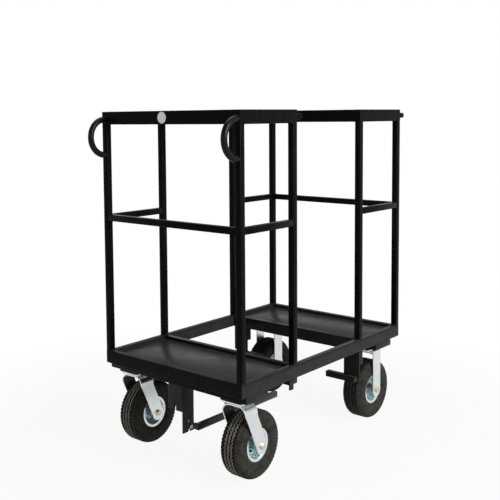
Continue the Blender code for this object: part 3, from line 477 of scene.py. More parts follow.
def rail_frame(low, high):
    """A closed frame of rails whose section has rounded corners."""
    tall = high[2] - low[2]
    middle = low[2] + tall / 2
    corners = ((low[0], low[1]), (high[0], low[1]), (high[0], high[1]), (low[0], high[1]))
    section = rounded_box(RAIL_THICK, tall, TUBE_CORNER, 3)
    section = [(u + RAIL_THICK / 2, v) for u, v in section]
    loops = []
    for (x, y), (dx, dy) in zip(corners, ((1, 1), (-1, 1), (-1, -1), (1, -1))):
        loops.append([(x + dx * u, y + dy * u, middle + v) for u, v in section])
    return loft(loops, closed=True)


def reaching(low, high, along):
    """A bar that fills a box and reaches its neighbours at both ends."""
    low, high, axis = list(low), list(high), "xyz".index(along)
    low[axis] -= REACH
    high[axis] += REACH
    return bar(low, high, along)


piece("base_rails", [rail_frame(*box_of(*BASE))], BASE, bevel=1 * MM)
for cage in CAGES:
    node = f"{cage}_top_ring"
    piece(f"{cage}_top_rails", [rail_frame(*box_of(node))], [node], bevel=1 * MM)
for end in ENDS:
    node = f"base_cross_rail_{end}"
    piece(f"base_cross_tube_{end}", [reaching(*box_of(node), "y")], [node])

# %% [markdown]
# ## Posts and mid rails
# Each side of a cage is a welded H: two posts and a rail between them. The posts run from
# the base rails to the top rails, and the end of the cage has a rail of its own at the same
# height.

# %% Cage sides
POST = 25.4 * MM


def side_boxes(node, end_rail):
    """The boxes of the two posts of a cage side, and of the mid rail between them."""
    low, high = box_of(node)
    start, stop = low[0] + POST, high[0] - POST
    first = (low, [start, high[1], high[2]])
    second = ([stop, low[1], low[2]], high)
    rail = ([start, low[1], end_rail[0][2]], [stop, high[1], end_rail[1][2]])
    return first, second, rail


for cage in CAGES:
    end_rail = box_of(f"{cage}_end_mid_rail")
    for side in SIDES:
        node = f"{cage}_side_frame_{side}"
        first, second, rail = side_boxes(node, end_rail)
        tubes = [reaching(*first, "z"), reaching(*second, "z"), reaching(*rail, "x")]
        piece(f"{cage}_side_{side}", tubes, [node])
    piece(f"{cage}_end_rail", [reaching(*end_rail, "y")], [f"{cage}_end_mid_rail"])

# %% [markdown]
# ## Weld beads
# The tubes are joined by short fillet welds in the inside corners, painted over. A bead is a
# row of overlapping ripples, so it is a thin round bar whose thickness swells at every
# ripple and tapers at the ends.

# %% Weld beads
BEAD, RIPPLE = 2.6 * MM, 2.8 * MM
BEAD_STEP = 0.7 * MM
BEAD_SHORT = 2 * MM  # A bead stops short of the rounded corners of the tube.


def bead(start, end, normal):
    start, end = Vector(start), Vector(end)
    length = (end - start).length
    steps = max(8, round(length / BEAD_STEP))
    path = [start.lerp(end, k / steps) for k in range(steps + 1)]

    def size(t):
        taper = min(1.0, 8 * t, 8 * (1 - t)) ** 0.5
        ripple = 1 + 0.14 * math.sin(2 * math.pi * t * length / RIPPLE)
        return BEAD * (0.15 + 0.85 * taper) * ripple

    return swept(path, normal, size, sides=8)


def face_bead(box, face, z):
    """A bead across one face of an upright box, such as "x-" for the lower x, at a height."""
    axis = "xy".index(face[0])
    start = [box[0][0] + BEAD_SHORT, box[0][1] + BEAD_SHORT, z]
    end = [box[1][0] - BEAD_SHORT, box[1][1] - BEAD_SHORT, z]
    start[axis] = end[axis] = box[0][axis] if face[1] == "-" else box[1][axis]
    return bead(start, end, (1 - axis, axis, 0))


def end_beads(box, *faces):
    """Beads on some faces of a tube, at its lowest and its highest edge."""
    return [face_bead(box, face, z) for z in (box[0][2], box[1][2]) for face in faces]


beads = []
for cage, well_face in zip(CAGES, ("x+", "x-")):
    end_rail = box_of(f"{cage}_end_mid_rail")
    for side, inner in zip(SIDES, ("y+", "y-")):
        first, second, rail = side_boxes(f"{cage}_side_frame_{side}", end_rail)
        beads += end_beads(first, "x+", inner) + end_beads(second, "x-", inner)
        beads += end_beads(rail, "x-", "x+")
        # The well side of a cage stands on a rail that goes on, so it has one bead more.
        low, high = first[0], second[1]
        beads.append(face_bead((low, high), well_face, low[2]))
    beads += end_beads(end_rail, "y-", "y+")
piece("weld_beads", beads, crease=80)
print(len(beads), "weld beads")

# %% [markdown]
# ## Cage floors
# Each floor is a sheet of 2 mm steel let in below the top of the base rails, so that feet
# can't slide off. Feet have scratched it more than anything else on the cart.

# %% Floors
for end in ENDS:
    node = f"floor_{end}"
    sheet = bar(*box_of(node), "x", corner=0.6 * MM, lip=0.5 * MM)
    piece(f"cage_floor_{end}", [sheet], [node], FLOOR_BLACK)

# %% [markdown]
# ## Under the frame
# The casters bolt under two flat tubes across the frame. Both tubes have welded ends, and a
# pad over each caster brings its plate clear of the weld. A narrower tube lies under the
# edge of the well, with a small tab for a tie strap below each end.

# %% Caster tubes
PAD_LONG, PAD_WIDE = 114.3 * MM, 101.6 * MM
NODE_GAP = 0.3 * MM  # What the CAD model leaves between neighbours.
FLAT_TUBE_TALL, SUNK = 25.4 * MM, 1 * MM
CASTERS = [f"{kind}_{side}" for kind in ("swivel", "rigid") for side in SIDES]


def caster_axis(caster):
    """The middle of a caster's top plate, on the plane of the plate's top face."""
    swivels = caster.startswith("swivel")
    pads, _ = box_of("caster_channel_push" if swivels else "caster_channel_far")
    low, high = box_of(f"{caster}_top_plate" if swivels else f"{caster}_fork")
    x = joint_place[f"{caster}_turn"][0] if swivels else (low[0] + high[0]) / 2
    return x, (low[1] + high[1]) / 2, pads[2] - NODE_GAP


def flat_tube(low, high):
    """The flat tube at the top of a box, and the height of its underside."""
    under = high[2] - FLAT_TUBE_TALL
    top = high[2] + REACH / 2
    return bar([low[0], low[1], under], [high[0], high[1], top], "y", corner=4 * MM), under


for end, kind in zip(ENDS, ("swivel", "rigid")):
    node = f"caster_channel_{end}"
    low, high = box_of(node)
    tube, under = flat_tube(low, high)
    solids = [tube]
    for side in SIDES:
        x, y, _ = caster_axis(f"{kind}_{side}")
        first = [x - PAD_LONG / 2, y - PAD_WIDE / 2, low[2]]
        last = [x + PAD_LONG / 2, y + PAD_WIDE / 2, under + SUNK]
        solids.append(bar(first, last, "z", corner=6 * MM))
    piece(f"caster_cross_tube_{end}", solids, [node])

# %% Tie tube
TAB_LONG, TAB_THICK, TAB_INSET = 26 * MM, 4 * MM, 10 * MM
low, high = box_of("underframe_cross_member")
tube, under = flat_tube(low, high)
x = (low[0] + high[0]) / 2
tab = [(x - TAB_LONG / 2, under + SUNK, 0), (x - TAB_LONG / 2, low[2], 4 * MM)]
tab += [(x + TAB_LONG / 2, low[2], 4 * MM), (x + TAB_LONG / 2, under + SUNK, 0)]
solids = [tube]
for sign in (-1, 1):
    y = sign * (high[1] - TAB_INSET)
    solids.append(side_slab(filleted(tab), y - TAB_THICK / 2, y + TAB_THICK / 2))
piece("tie_tube", solids, ["underframe_cross_member"], bevel=0.5 * MM)

# %% [markdown]
# ## Push handles, hanger rods and badge
# A handle is round tube bent to a half circle and welded to a corner post, with a ring of
# weld round each end. A hanger rod is round bar that lies beside the top rails on short
# blocks, where hooks drop over it. The badge is a blank disc with a low rim.

# %% Handles
HANDLE_RADIUS, HANDLE_WELD = 12 * MM, 1.4 * MM
for side in SIDES:
    node = f"push_handle_{side}"
    low, high = box_of(node)
    y = (low[1] + high[1]) / 2
    middle = (low[2] + high[2]) / 2
    bend = (high[2] - low[2]) / 2 - HANDLE_RADIUS
    half_circle = [math.radians(-90 + 180 * k / 48) for k in range(49)]
    path = [(high[0] - bend * math.cos(a), y, middle + bend * math.sin(a)) for a in half_circle]
    path = [(high[0] + REACH, y, middle - bend), *path, (high[0] + REACH, y, middle + bend)]
    solids = [swept(path, (0, 1, 0), HANDLE_RADIUS, 28)]
    for z in (middle - bend, middle + bend):
        around = arc(y, z, HANDLE_RADIUS - 0.8 * MM, 0, 360, 60)[:-1]
        collar = [(high[0] - 0.4 * MM, p, q) for p, q in around]
        solids.append(swept(collar, (1, 0, 0), HANDLE_WELD, 8, closed=True))
    piece(f"push_handle_tube_{side}", solids, [node], HANDLE_BLACK, crease=60)

# %% Hanger rods
ROD, ROD_EDGE = 11.1 * MM, 1.2 * MM
BLOCK_LONG, BLOCK_TALL, BLOCK_INSET = 20 * MM, 11.1 * MM, 11 * MM
for end in ENDS:
    node = f"hanger_rod_{end}"
    low, high = box_of(node)
    x, z = high[0] - ROD, (low[2] + high[2]) / 2
    profile = [(0, low[1]), (ROD - ROD_EDGE, low[1]), (ROD, low[1] + ROD_EDGE)]
    profile += [(ROD, high[1] - ROD_EDGE), (ROD - ROD_EDGE, high[1]), (0, high[1])]
    solids = [turned(profile, "y", (x, 0, z), 40)]
    for y in (low[1] + BLOCK_INSET, 0.0, high[1] - BLOCK_INSET):
        first = [low[0] - REACH, y - BLOCK_LONG / 2, z - BLOCK_TALL / 2]
        last = [x, y + BLOCK_LONG / 2, z + BLOCK_TALL / 2]
        solids.append(bar(first, last, "x", corner=1 * MM))
    piece(f"hanger_bar_{end}", solids, [node], crease=40)

# %% Badge
low, high = box_of("badge_disc")
radius, thick = (high[2] - low[2]) / 2, high[0] - low[0]
centre = (high[0], (low[1] + high[1]) / 2, (low[2] + high[2]) / 2)
profile = [(0, REACH), (radius, REACH), (radius, 0.5 * MM - thick), (radius - 0.6 * MM, -thick)]
profile += [(radius - 2.2 * MM, -thick), (radius - 2.8 * MM, 0.4 * MM - thick)]
profile += [(0, 0.3 * MM - thick)]
blank = [turned(profile, "x", centre, 72)]
piece("badge_blank", blank, ["badge_disc"], BADGE_METAL, crease=30)

# %% [markdown]
# ## Nuts and bolts
# A nut is a hexagon whose outer corners are chamfered by a cone, with a flat washer under
# it and a few threads of the bolt standing out of it. The threads are plain rings, because
# a helix that fine would look the same.

# %% Nuts and bolts
THREAD_PITCH = 1.2 * MM
NUT_CHAMFER = 0.9 * MM


def hexagon(along, centre, across_corners, start, end, turn=0.0):
    """A hexagon head or nut from one height to another, chamfered at its far end."""
    r = across_corners / 2
    step = math.copysign(NUT_CHAMFER, end - start)
    profile = [(0, start), (r, start), (r, end - step), (0.86 * r, end), (0, end)]
    return turned(profile, along, centre, 6, turn)


def threads(along, centre, radius, start, end):
    count = max(2, round(abs(end - start) / THREAD_PITCH))
    profile = [(0, start)]
    for k in range(count):
        height = start + (end - start) * k / count
        profile.append((radius, height + (end - start) * 0.3 / count))
        profile.append((radius * 0.88, height + (end - start) * 0.8 / count))
    profile += [(radius * 0.7, end), (0, end)]
    return turned(profile, along, centre, 20)


def washer(along, centre, radius, start, end):
    profile = [(0, start), (radius, start), (radius, end), (0, end)]
    return turned(profile, along, centre, 28)


# %% Caster plates
BOLT_DX, BOLT_DY = 43 * MM, 36.75 * MM
PLATE_THICK = 4.8 * MM
WASHER, NUT, BOLT = 9.3 * MM, 16.6 * MM, 4.5 * MM


def top_plate(x, y, top):
    outline = [(x + u, y + v) for u, v in rounded_box(PAD_LONG, PAD_WIDE, 10 * MM, 6)]
    return slab(outline, "z", top - PLATE_THICK, top)


def plate_bolts(caster):
    """The four nuts under a caster plate, with washers and bolt ends."""
    x, y, top = caster_axis(caster)
    solids = []
    for sx, sy in ((-1, -1), (-1, 1), (1, -1), (1, 1)):
        centre = (x + sx * BOLT_DX, y + sy * BOLT_DY, top - PLATE_THICK)
        solids.append(washer("z", centre, WASHER, 0.5 * MM, -1.2 * MM))
        solids.append(hexagon("z", centre, NUT, -1 * MM, -6.9 * MM, 15 * sx * sy))
        solids.append(threads("z", centre, BOLT, -6.5 * MM, -8.3 * MM))
    piece(f"{caster}_plate_bolts", solids, (), ZINC_BOLT, crease=28)


# %% [markdown]
# ## Swivel casters
# The top plate stays with the cart. Under it a ring of balls runs in a pressed race, and the
# fork hangs from it on a kingpin. The fork is one sheet, bent over the wheel and raked back
# so that the wheel trails behind the axis it turns on.

# %% Swivel mounts
KING_NUT, KING_WASHER, KING_THREAD, KING_SHANK = 30 * MM, 15 * MM, 8.5 * MM, 9 * MM
for side in SIDES:
    caster = f"swivel_{side}"
    x, y, plate_top = caster_axis(caster)
    plate, node = [top_plate(x, y, plate_top)], f"{caster}_top_plate"
    piece(f"{caster}_plate", plate, [node], ZINC, bevel=0.7 * MM)
    plate_bolts(caster)

    node = f"{caster}_bearing_race"
    low, high = box_of(node)
    deep = high[2] - low[2]
    r = (high[0] - low[0]) / 2
    # The pressed cup curls down round the balls and shows a dark slot above the lower ring.
    profile = [(0, deep + REACH), (r - 7 * MM, deep + REACH), (r - 2.4 * MM, deep - 0.6 * MM)]
    profile += [(r - 0.3 * MM, deep - 2.6 * MM), (r, deep - 4.6 * MM), (r - 0.6 * MM, 3.6 * MM)]
    profile += [(r - 4 * MM, 3.2 * MM), (r - 4 * MM, 2.4 * MM), (r - 1.2 * MM, 2.2 * MM)]
    profile += [(r - 1.2 * MM, 0.9 * MM), (r - 2.4 * MM, -0.2 * MM), (0, -0.2 * MM)]
    race = [turned(profile, "z", (x, y, low[2]), 64)]
    piece(f"{caster}_ball_race", race, [node], ZINC, crease=35)

    node = f"{caster}_kingpin"
    low, high = box_of(node)
    foot = (x, y, low[2])
    pin = [hexagon("z", foot, KING_NUT, 9.5 * MM, 1.5 * MM)]
    pin += [washer("z", foot, KING_WASHER, 8.6 * MM, 10 * MM)]
    pin += [threads("z", foot, KING_THREAD, 2.5 * MM, 0.0)]
    pin += [washer("z", foot, KING_SHANK, 9 * MM, high[2] - low[2])]
    piece(f"{caster}_king_bolt", pin, [node], TURNED_STEEL, crease=28)

# %% Forks
ARM_OUTER, ARM_SHEET = 57.5 * MM, 5 * MM
EYE, AXLE_HOLE = 30 * MM, 8.3 * MM
CROWN_FRONT, CROWN_BACK, CROWN_BEND = 37 * MM, 31 * MM, 34 * MM
FRONT_BEND, BACK_BEND, BACK_DROP = 36 * MM, 14 * MM, 7 * MM
RIGID_BEND, LIP_DROP = 12 * MM, 18 * MM
LIP_IN, LIP_NARROW = 0.4 * MM, 0.5 * MM  # A lip stays just inside the fork it is folded from.
CUTTER_HALF = 80 * MM
MARGIN = 10 * MM  # How far a cutter stands out of what it cuts.


def saddle(top, low, half, bend):
    """The outside of a bent sheet, seen along x: up one arm, over, and down the other."""
    knee = top - bend
    outline = [(half, low)] + arc(half - bend, knee, bend, 0, 90, 14)
    return outline + arc(bend - half, knee, bend, 90, 180, 14) + [(-half, low)]


def fork_solid(top, bend, side_outline, reach, axle, low):
    """A bent sheet, cut to its side shape and drilled for the axle."""
    inside = saddle(top - ARM_SHEET, low, ARM_OUTER - ARM_SHEET, bend - ARM_SHEET)
    sheet = slab(saddle(top, low, ARM_OUTER, bend) + inside[::-1], "x", *reach)
    side = side_slab(side_outline, -CUTTER_HALF, CUTTER_HALF)
    hole = arc(axle[1], axle[0], AXLE_HOLE, 0, 360, 32)[:-1]
    hole = slab(hole, "y", -CUTTER_HALF - MARGIN, CUTTER_HALF + MARGIN)
    return carved(carved(sheet, side, "INTERSECT"), hole)


for side in SIDES:
    caster = f"swivel_{side}"
    x, y, _ = caster_axis(caster)
    node = f"{caster}_fork"
    low, high = box_of(node)
    wheel = joint_place[f"{caster}_roll"]
    trail, crown = wheel[0] - x, high[2]
    knee = crown - CROWN_BEND
    front = [(-CROWN_FRONT, crown + MARGIN, 0), (-CROWN_FRONT, knee, FRONT_BEND)]
    back = [(CROWN_BACK, knee - BACK_DROP, BACK_BEND), (CROWN_BACK, crown + MARGIN, 0)]
    eye = [(u, v, 0) for u, v in arc(trail, wheel[2], EYE, 188, 380, 28)]
    outline, reach = filleted(front + eye + back), (-80 * MM, 100 * MM)
    fork = fork_solid(crown, CROWN_BEND, outline, reach, (trail, wheel[2]), low[2] - MARGIN)
    solids, body = [shifted(fork, x, y)], f"{caster}_yoke"
    piece(f"{caster}_fork_sheet", solids, [node], ZINC, body, 0.9 * MM, 40)

# %% [markdown]
# ## Rigid casters
# A rigid fork is welded straight to its plate. Its crown is turned down at the front and the
# back, which stiffens it and hides most of the gap over the wheel.

# %% Rigid forks
for side in SIDES:
    caster = f"rigid_{side}"
    x, y, plate_top = caster_axis(caster)
    node = f"{caster}_fork"
    low, high = box_of(node)
    axle_z = joint_place[f"{caster}_roll"][2]
    under = plate_top - PLATE_THICK
    arm = [(EYE, under + 8 * MM), (-EYE, under + 8 * MM)]
    outline, reach = arm + arc(0.0, axle_z, EYE, 180, 360, 28), (-50 * MM, 50 * MM)
    fork = fork_solid(under, RIGID_BEND, outline, reach, (0.0, axle_z), low[2] - MARGIN)
    solids = [shifted(fork, x, y), top_plate(x, y, plate_top)]
    lip = saddle(under, under - LIP_DROP, ARM_OUTER - LIP_NARROW, RIGID_BEND)
    for start in (LIP_IN - EYE, EYE - LIP_IN - ARM_SHEET):
        solids.append(shifted(slab(lip, "x", start, start + ARM_SHEET), x, y))
    piece(f"{caster}_fork_sheet", solids, [node], ZINC, bevel=0.9 * MM, crease=40)
    plate_bolts(caster)

# %% [markdown]
# ## Wheels
# Ten inch pneumatic wheels. The rim is pressed in two dished halves and holds a roller
# bearing in a straight hub. The tyre has five ribs with zigzag grooves between them, and
# blocks on its shoulders. Its sidewalls are left bare, apart from the fine rings that every
# tyre mould leaves.

# %% Rims and valves
WHEEL_STEPS = 96
LIP_INSIDE = 53 * MM  # Where the bright lip of the rim turns down into the dish.
BOLT_CIRCLE, RIM_BOLT, VALVE_CIRCLE = 31 * MM, 10 * MM, 31.5 * MM


def rim_solid(centre):
    """Both halves of a rim. A half runs from the well out to the lip and in to the hub."""
    half = [(43.6, 12.0), (43.8, 17.0), (46.0, 21.5), (49.6, 24.5), (50.4, 30.5), (51.6, 33.6)]
    half += [(56.0, 34.6), (61.0, 34.6), (62.6, 34.0), (63.4, 34.6), (63.5, 35.8), (62.8, 36.8)]
    half += [(61.6, 37.0), (56.0, 36.9), (53.4, 36.3), (51.2, 34.8), (49.4, 32.0), (48.2, 28.0)]
    half += [(46.6, 25.0), (43.4, 21.8), (41.4, 17.6), (40.6, 12.6), (38.6, 8.6), (34.0, 5.2)]
    half += [(29.0, 3.6), (25.6, 3.8), (22.9, 5.4), (21.7, 8.4), (21.5, 36.0), (20.7, 36.9)]
    return turned(in_mm(mirrored([*half, (17.6, 37.0)])), "y", centre, WHEEL_STEPS)


def round_axle(centre, radius, degrees):
    """A place on a circle round an axle."""
    angle = math.radians(degrees)
    return placed(radius * math.sin(angle), radius * math.cos(angle), 0.0, "y", centre)


def rim_bolts(centre, turn):
    bolts = []
    for k in range(4):
        spot = round_axle(centre, BOLT_CIRCLE, turn + 45 + 90 * k)
        bolts.append(hexagon("y", spot, RIM_BOLT, -2 * MM, -7.5 * MM, 20 * k))
        bolts.append(hexagon("y", spot, RIM_BOLT, 2 * MM, 8.5 * MM, 20 * k))
    return bolts


def valve(centre, turn):
    """A valve stem: a rubber foot and cap, and a brass stem with threads between them."""
    spot = round_axle(centre, VALVE_CIRCLE, turn)
    foot = [(0, -1), (5.6, -3), (4.6, -8), (3.4, -13), (0, -13)]
    cap = [(0, -20), (3.7, -20), (3.9, -25), (3.0, -27.6), (0, -28)]
    rubber_parts = [turned(in_mm(profile), "y", spot, 20) for profile in (foot, cap)]
    return rubber_parts, [threads("y", spot, 3.2 * MM, -12 * MM, -21 * MM)]


# %% [markdown]
# ## Tyre tread
# The tread has four grooves that zigzag every 15 mm, and its shoulders are notched at the
# same beat. Each row of the section knows how much it takes part round the wheel: in the
# swing of the zigzag from side to side, and in the dip at every notch.

# %% Tyres
ZIGZAGS, ZIGZAG = 54, 2.6 * MM
STEPS_PER_ZIGZAG = 6
TYRE_STEPS = STEPS_PER_ZIGZAG * ZIGZAGS
GROOVE_DEEP, NOTCH_DEEP = 5.0 * MM, 5.0 * MM
GROOVE_MIDDLES = (7.8 * MM, 22.4 * MM)
BEAD_SEAT = 51.2 * MM


def tyre_rows(radius):
    """The section as rows of (height, radius, swing, notch), all the way round."""
    rows = [(0.0, radius, 0, 0)]
    for middle in GROOVE_MIDDLES:
        for offset, dip in ((-3.1, 0), (-2.3, GROOVE_DEEP), (2.3, GROOVE_DEEP), (3.1, 0)):
            rows.append((middle + offset * MM, radius - dip, 1, 0))
    shoulder = [(29.4, 0.8, 0), (32.2, 1.6, 0), (34.6, 2.6, 0.5)]
    shoulder += [(38.0, 4.6, 1), (41.4, 8.2, 1), (43.2, 11.6, 1)]
    side = [(44.4, 14.4), (45.8, 19.0), (46.5, 24.0), (46.9, 25.4), (46.9, 26.6), (46.5, 27.8)]
    side += [(46.9, 34.0), (46.9, 41.0), (46.0, 48.0), (44.4, 53.5), (44.0, 55.0), (42.2, 56.2)]
    side += [(40.8, 58.4), (38.6, 60.6), (36.4, 62.2), (35.0, 64.2), (34.8, 70.0), (33.0, 76.0)]
    shoulder += [(height, dip, 0) for height, dip in side]
    rows += [(height * MM, radius - dip * MM, 0, notch) for height, dip, notch in shoulder]
    rows += [(20.0 * MM, BEAD_SEAT, 0, 0), (0.0, BEAD_SEAT, 0, 0)]
    return rows + [(-height, *rest) for height, *rest in reversed(rows[1:-1])]


def tyre_solid(centre, radius):
    rows = tyre_rows(radius)
    loops = []
    for k in range(TYRE_STEPS):
        angle = 2 * math.pi * k / TYRE_STEPS
        c, s = math.cos(angle), math.sin(angle)
        beat = k % STEPS_PER_ZIGZAG / STEPS_PER_ZIGZAG
        wave = ZIGZAG * (4 * abs(beat - 0.5) - 1)
        deep = NOTCH_DEEP if beat > 0.6 else 0.0
        loop = []
        for height, r, swing, notch in rows:
            r -= notch * deep
            loop.append(placed(r * s, r * c, height + swing * wave, "y", centre))
        loops.append(loop)
    return loft(loops, closed=True)


# %% Wheels
VALVE_ANGLES = {"swivel_right": 216, "rigid_right": 150, "swivel_left": 40, "rigid_left": 300}


def refinish(made, finish, centre, chosen):
    """Gives another finish to faces, chosen by their distance from mid wheel and axle."""
    made.data.materials.append(finish)
    for polygon in made.data.polygons:
        out = Vector(polygon.center) - centre
        if chosen(abs(out.y), math.hypot(out.x, out.z)):
            polygon.material_index = len(made.data.materials) - 1


def tyre_piece(caster, centre, body):
    node = f"{caster}_tyre"
    low, high = box_of(node)
    radius = (high[2] - low[2]) / 2
    solids, name = [tyre_solid(centre, radius)], f"{caster}_tyre_tread"
    tyre = piece(name, solids, [node], TYRE, body, crease=40)
    rib = radius - 0.9 * MM
    ribs_take_painted_light = caster.startswith("swivel")
    # Groove floors and walls take the dark groove rubber, painted shade in the recesses.
    refinish(tyre, TYRE_GROOVE_PAINTED_SHADE, centre, lambda y, r: y < 27 * MM and radius - 6 * MM < r < rib)
    # On swivel tyres the rib tops take the light tread rubber, dust and painted light.
    refinish(tyre, TREAD_DUST_AND_PAINTED_LIGHT, centre, lambda y, r: ribs_take_painted_light and y < 22 * MM and r > rib)


for caster in CASTERS:
    centre, body = joint_place[f"{caster}_roll"], f"{caster}_wheel"
    name, nodes = f"{caster}_rim_pressing", [f"{caster}_rim"]
    rim = piece(name, [rim_solid(centre)], nodes, ZINC, body, crease=32)
    # Inside the lip the dish takes the darker, bluer zinc: painted shade and painted reflection.
    refinish(rim, RIM_DISH_PAINTED_SHADE, centre, lambda y, r: r < LIP_INSIDE)
    turn = VALVE_ANGLES[caster]
    bolts = rim_bolts(centre, turn)
    # The rim bolts stand in the dish and take its painted shade.
    piece(f"{caster}_rim_bolts", bolts, (), RIM_DISH_PAINTED_SHADE, body, crease=32)
    stem_rubber, stem_brass = valve(centre, turn)
    piece(f"{caster}_valve", stem_rubber, (), CAP_RUBBER, body, crease=40)
    piece(f"{caster}_valve_stem", stem_brass, (), BRASS, body, crease=40)
    tyre_piece(caster, centre, body)
    sleeve = [(8.4, -37.1), (9.6, -37.1), (10.2, -36.2), (15.6, -36.2), (16.2, -37.1)]
    sleeve = [turned(in_mm(mirrored([*sleeve, (17.3, -37.1)])), "y", centre, 40)]
    name, nodes = f"{caster}_roller_bearing", [f"{caster}_hub_bearing"]
    piece(name, sleeve, nodes, TURNED_STEEL, body, crease=30)

# %% Axles
AXLE_NUT, AXLE_THREAD = 24 * MM, 7.6 * MM
for caster in CASTERS:
    centre = joint_place[f"{caster}_roll"]
    carrier = f"{caster}_yoke" if caster.startswith("swivel") else "frame"
    axle = [hexagon("y", centre, AXLE_NUT, -58 * MM, -65.6 * MM)]
    axle += [hexagon("y", centre, AXLE_NUT, 58.4 * MM, 64 * MM, 30)]
    axle += [threads("y", centre, AXLE_THREAD, 63.5 * MM, 65.6 * MM)]
    # A washer outside each arm of the fork, the shaft, and a spacer each side of the hub.
    discs = ((12.4, -57.3, -58.4), (12.4, 57.3, 58.6), (7.9, -60, 62))
    for radius, start, end in (*discs, (12.5, -37.3, -52.2), (12.5, 37.3, 52.2)):
        axle.append(washer("y", centre, radius * MM, start * MM, end * MM))
    name, nodes = f"{caster}_axle_bolt", [f"{caster}_axle"]
    piece(name, axle, nodes, ZINC_BOLT, carrier, crease=28)

# %% [markdown]
# ## Tow gear
# A folded bracket under the push end carries the tow bar. Its near cheek is the long one: it
# has an open notch for the pin, and a slot above it that locks the bar when it is drawn out.
# The bar is square tube with a flat lug, and its free end lies in a bent strap.

# %% Tow bracket
SHEET, PIN_HOLE = 6 * MM, 6 * MM
SHORT_FOOT = 222 * MM  # Where the front and the far cheek end above the floor.
SLOT_TOP, SLOT_HALF = 262 * MM, 5 * MM
LOCK_HEIGHT, LOCK_BACK = 176 * MM, 9 * MM
LOCK_HALF, LOCK_ROUND = 4 * MM, 3.6 * MM
CLEAR = 0.3 * MM  # Keeps a cutter's face off the sheet that stays.

low, high = box_of("tow_bracket")
pin_x, _, pin_z = joint_place["tow_bar_lift"]
x0, x1, half = low[0], high[0], high[1]
inside = half - SHEET
corners = [(x0, -half, 8 * MM), (x1, -half, 0), (x1, -inside, 0), (x0 + SHEET, -inside, 3 * MM)]
corners += [(x0 + SHEET, inside, 3 * MM), (x1, inside, 0), (x1, half, 0), (x0, half, 8 * MM)]
bracket = slab(filleted(corners), "z", low[2], high[2])

foot, wide = low[2] - MARGIN, half + MARGIN
front_cut = ([x0 - MARGIN, -wide, foot], [x0 + SHEET + CLEAR, wide, SHORT_FOOT])
rest_cut = ([x0 - 5 * MM, -inside + CLEAR, foot], [x1 + MARGIN, wide, SHORT_FOOT])
slot_cut = ([x0 - MARGIN, -SLOT_HALF, foot], [x0 + SHEET + MARGIN, SLOT_HALF, SLOT_TOP])
tools = [bar(*cut, "z", corner=0.1 * MM, lip=0.1 * MM) for cut in (front_cut, rest_cut)]
tools.append(bar(*slot_cut, "z", corner=2 * MM, lip=2 * MM))
notch = arc(pin_x, pin_z, PIN_HOLE, -30, 150, 16)
notch += [(pin_x - 19 * MM, foot), (pin_x - 7 * MM, foot)]
lock_x = pin_x - LOCK_BACK
lock = arc(lock_x, LOCK_HEIGHT + LOCK_HALF, LOCK_ROUND, 0, 180, 12)
lock += arc(lock_x, LOCK_HEIGHT - LOCK_HALF, LOCK_ROUND, 180, 360, 12)
tools += [side_slab(outline, -wide, -inside + MARGIN) for outline in (notch, lock)]
for tool in tools:
    bracket = carved(bracket, tool)
piece("tow_bracket_sheet", [bracket], ["tow_bracket"], TOW_BLACK, bevel=0.7 * MM, crease=40)

# %% Tow bar
BAR_TALL, BAR_START = 25.4 * MM, 52 * MM
LUG, LUG_OVERLAP, LUG_THICK = 12 * MM, 20 * MM, 8 * MM
low, high = box_of("tow_bar")
start = pin_x + BAR_START
tube_top = low[2] + BAR_TALL
tube = bar([start, low[1], low[2]], [high[0], high[1], tube_top], "x", lip=1 * MM)
lug = [(pin_x + u, pin_z + v) for u, v in arc(0, 0, LUG, 70, 240, 20)]
lug += [(start + LUG_OVERLAP, low[2] + 1 * MM), (start + LUG_OVERLAP, tube_top - 1 * MM)]
lug = side_slab(lug, low[1] + 1 * MM, low[1] + 1 * MM + LUG_THICK)
hole = arc(pin_z, pin_x, PIN_HOLE, 0, 360, 24)[:-1]
hole = slab(hole, "y", low[1] - MARGIN, high[1] + MARGIN)
solids, nodes = [tube, carved(lug, hole)], ["tow_bar"]
piece("tow_bar_tube", solids, nodes, TOW_BLACK, "tow_arm", 0.5 * MM, 60)

# %% Tow pin
PIN_HEAD, PIN_SHANK, PIN_EDGE = 8 * MM, 5.4 * MM, 1 * MM
low, high = box_of("tow_pin")
a, b = low[1], high[1]
pin = [(0, a), (PIN_HEAD - PIN_EDGE, a), (PIN_HEAD, a + PIN_EDGE), (PIN_HEAD, a + 4 * MM)]
pin += [(PIN_SHANK, a + 4.2 * MM), (PIN_SHANK, b - 4 * MM), (PIN_HEAD, b - 4 * MM)]
pin += [(PIN_HEAD, b - PIN_EDGE), (PIN_HEAD - PIN_EDGE, b), (0, b)]
pin = [turned(pin, "y", (pin_x, 0.0, pin_z), 32)]
piece("tow_pin_turned", pin, ["tow_pin"], TURNED_STEEL, crease=30)

# %% Keeper strap
STRAP, HOOK_TALL, BEND = 4 * MM, 11 * MM, 5 * MM
low, high = box_of("tow_bar_keeper")
_, bar_high = box_of("tow_bar")
front, back, top = low[1], bar_high[1] + 1 * MM, high[2]
trough, hook = low[2] + STRAP, low[2] + STRAP + HOOK_TALL
corners = [(front, low[2], BEND), (back + STRAP, low[2], BEND)]
corners += [(back + STRAP, top - STRAP, 1 * MM), (high[1], top - STRAP, 0)]
corners += [(high[1], top, 0), (back, top, BEND), (back, trough, 1 * MM)]
corners += [(front + STRAP, trough, 1 * MM), (front + STRAP, hook, 1.5 * MM)]
corners += [(front, hook, 1.5 * MM)]
strap = [slab(filleted(corners), "x", low[0], high[0])]
piece("keeper_strap", strap, ["tow_bar_keeper"], TOW_BLACK, bevel=0.5 * MM, crease=40)

# %% [markdown]
# ## Wheel guards
# In front of each rigid wheel a plate hangs from the frame and carries a short square tube.
# It keeps what hangs on the rods clear of the tyre.

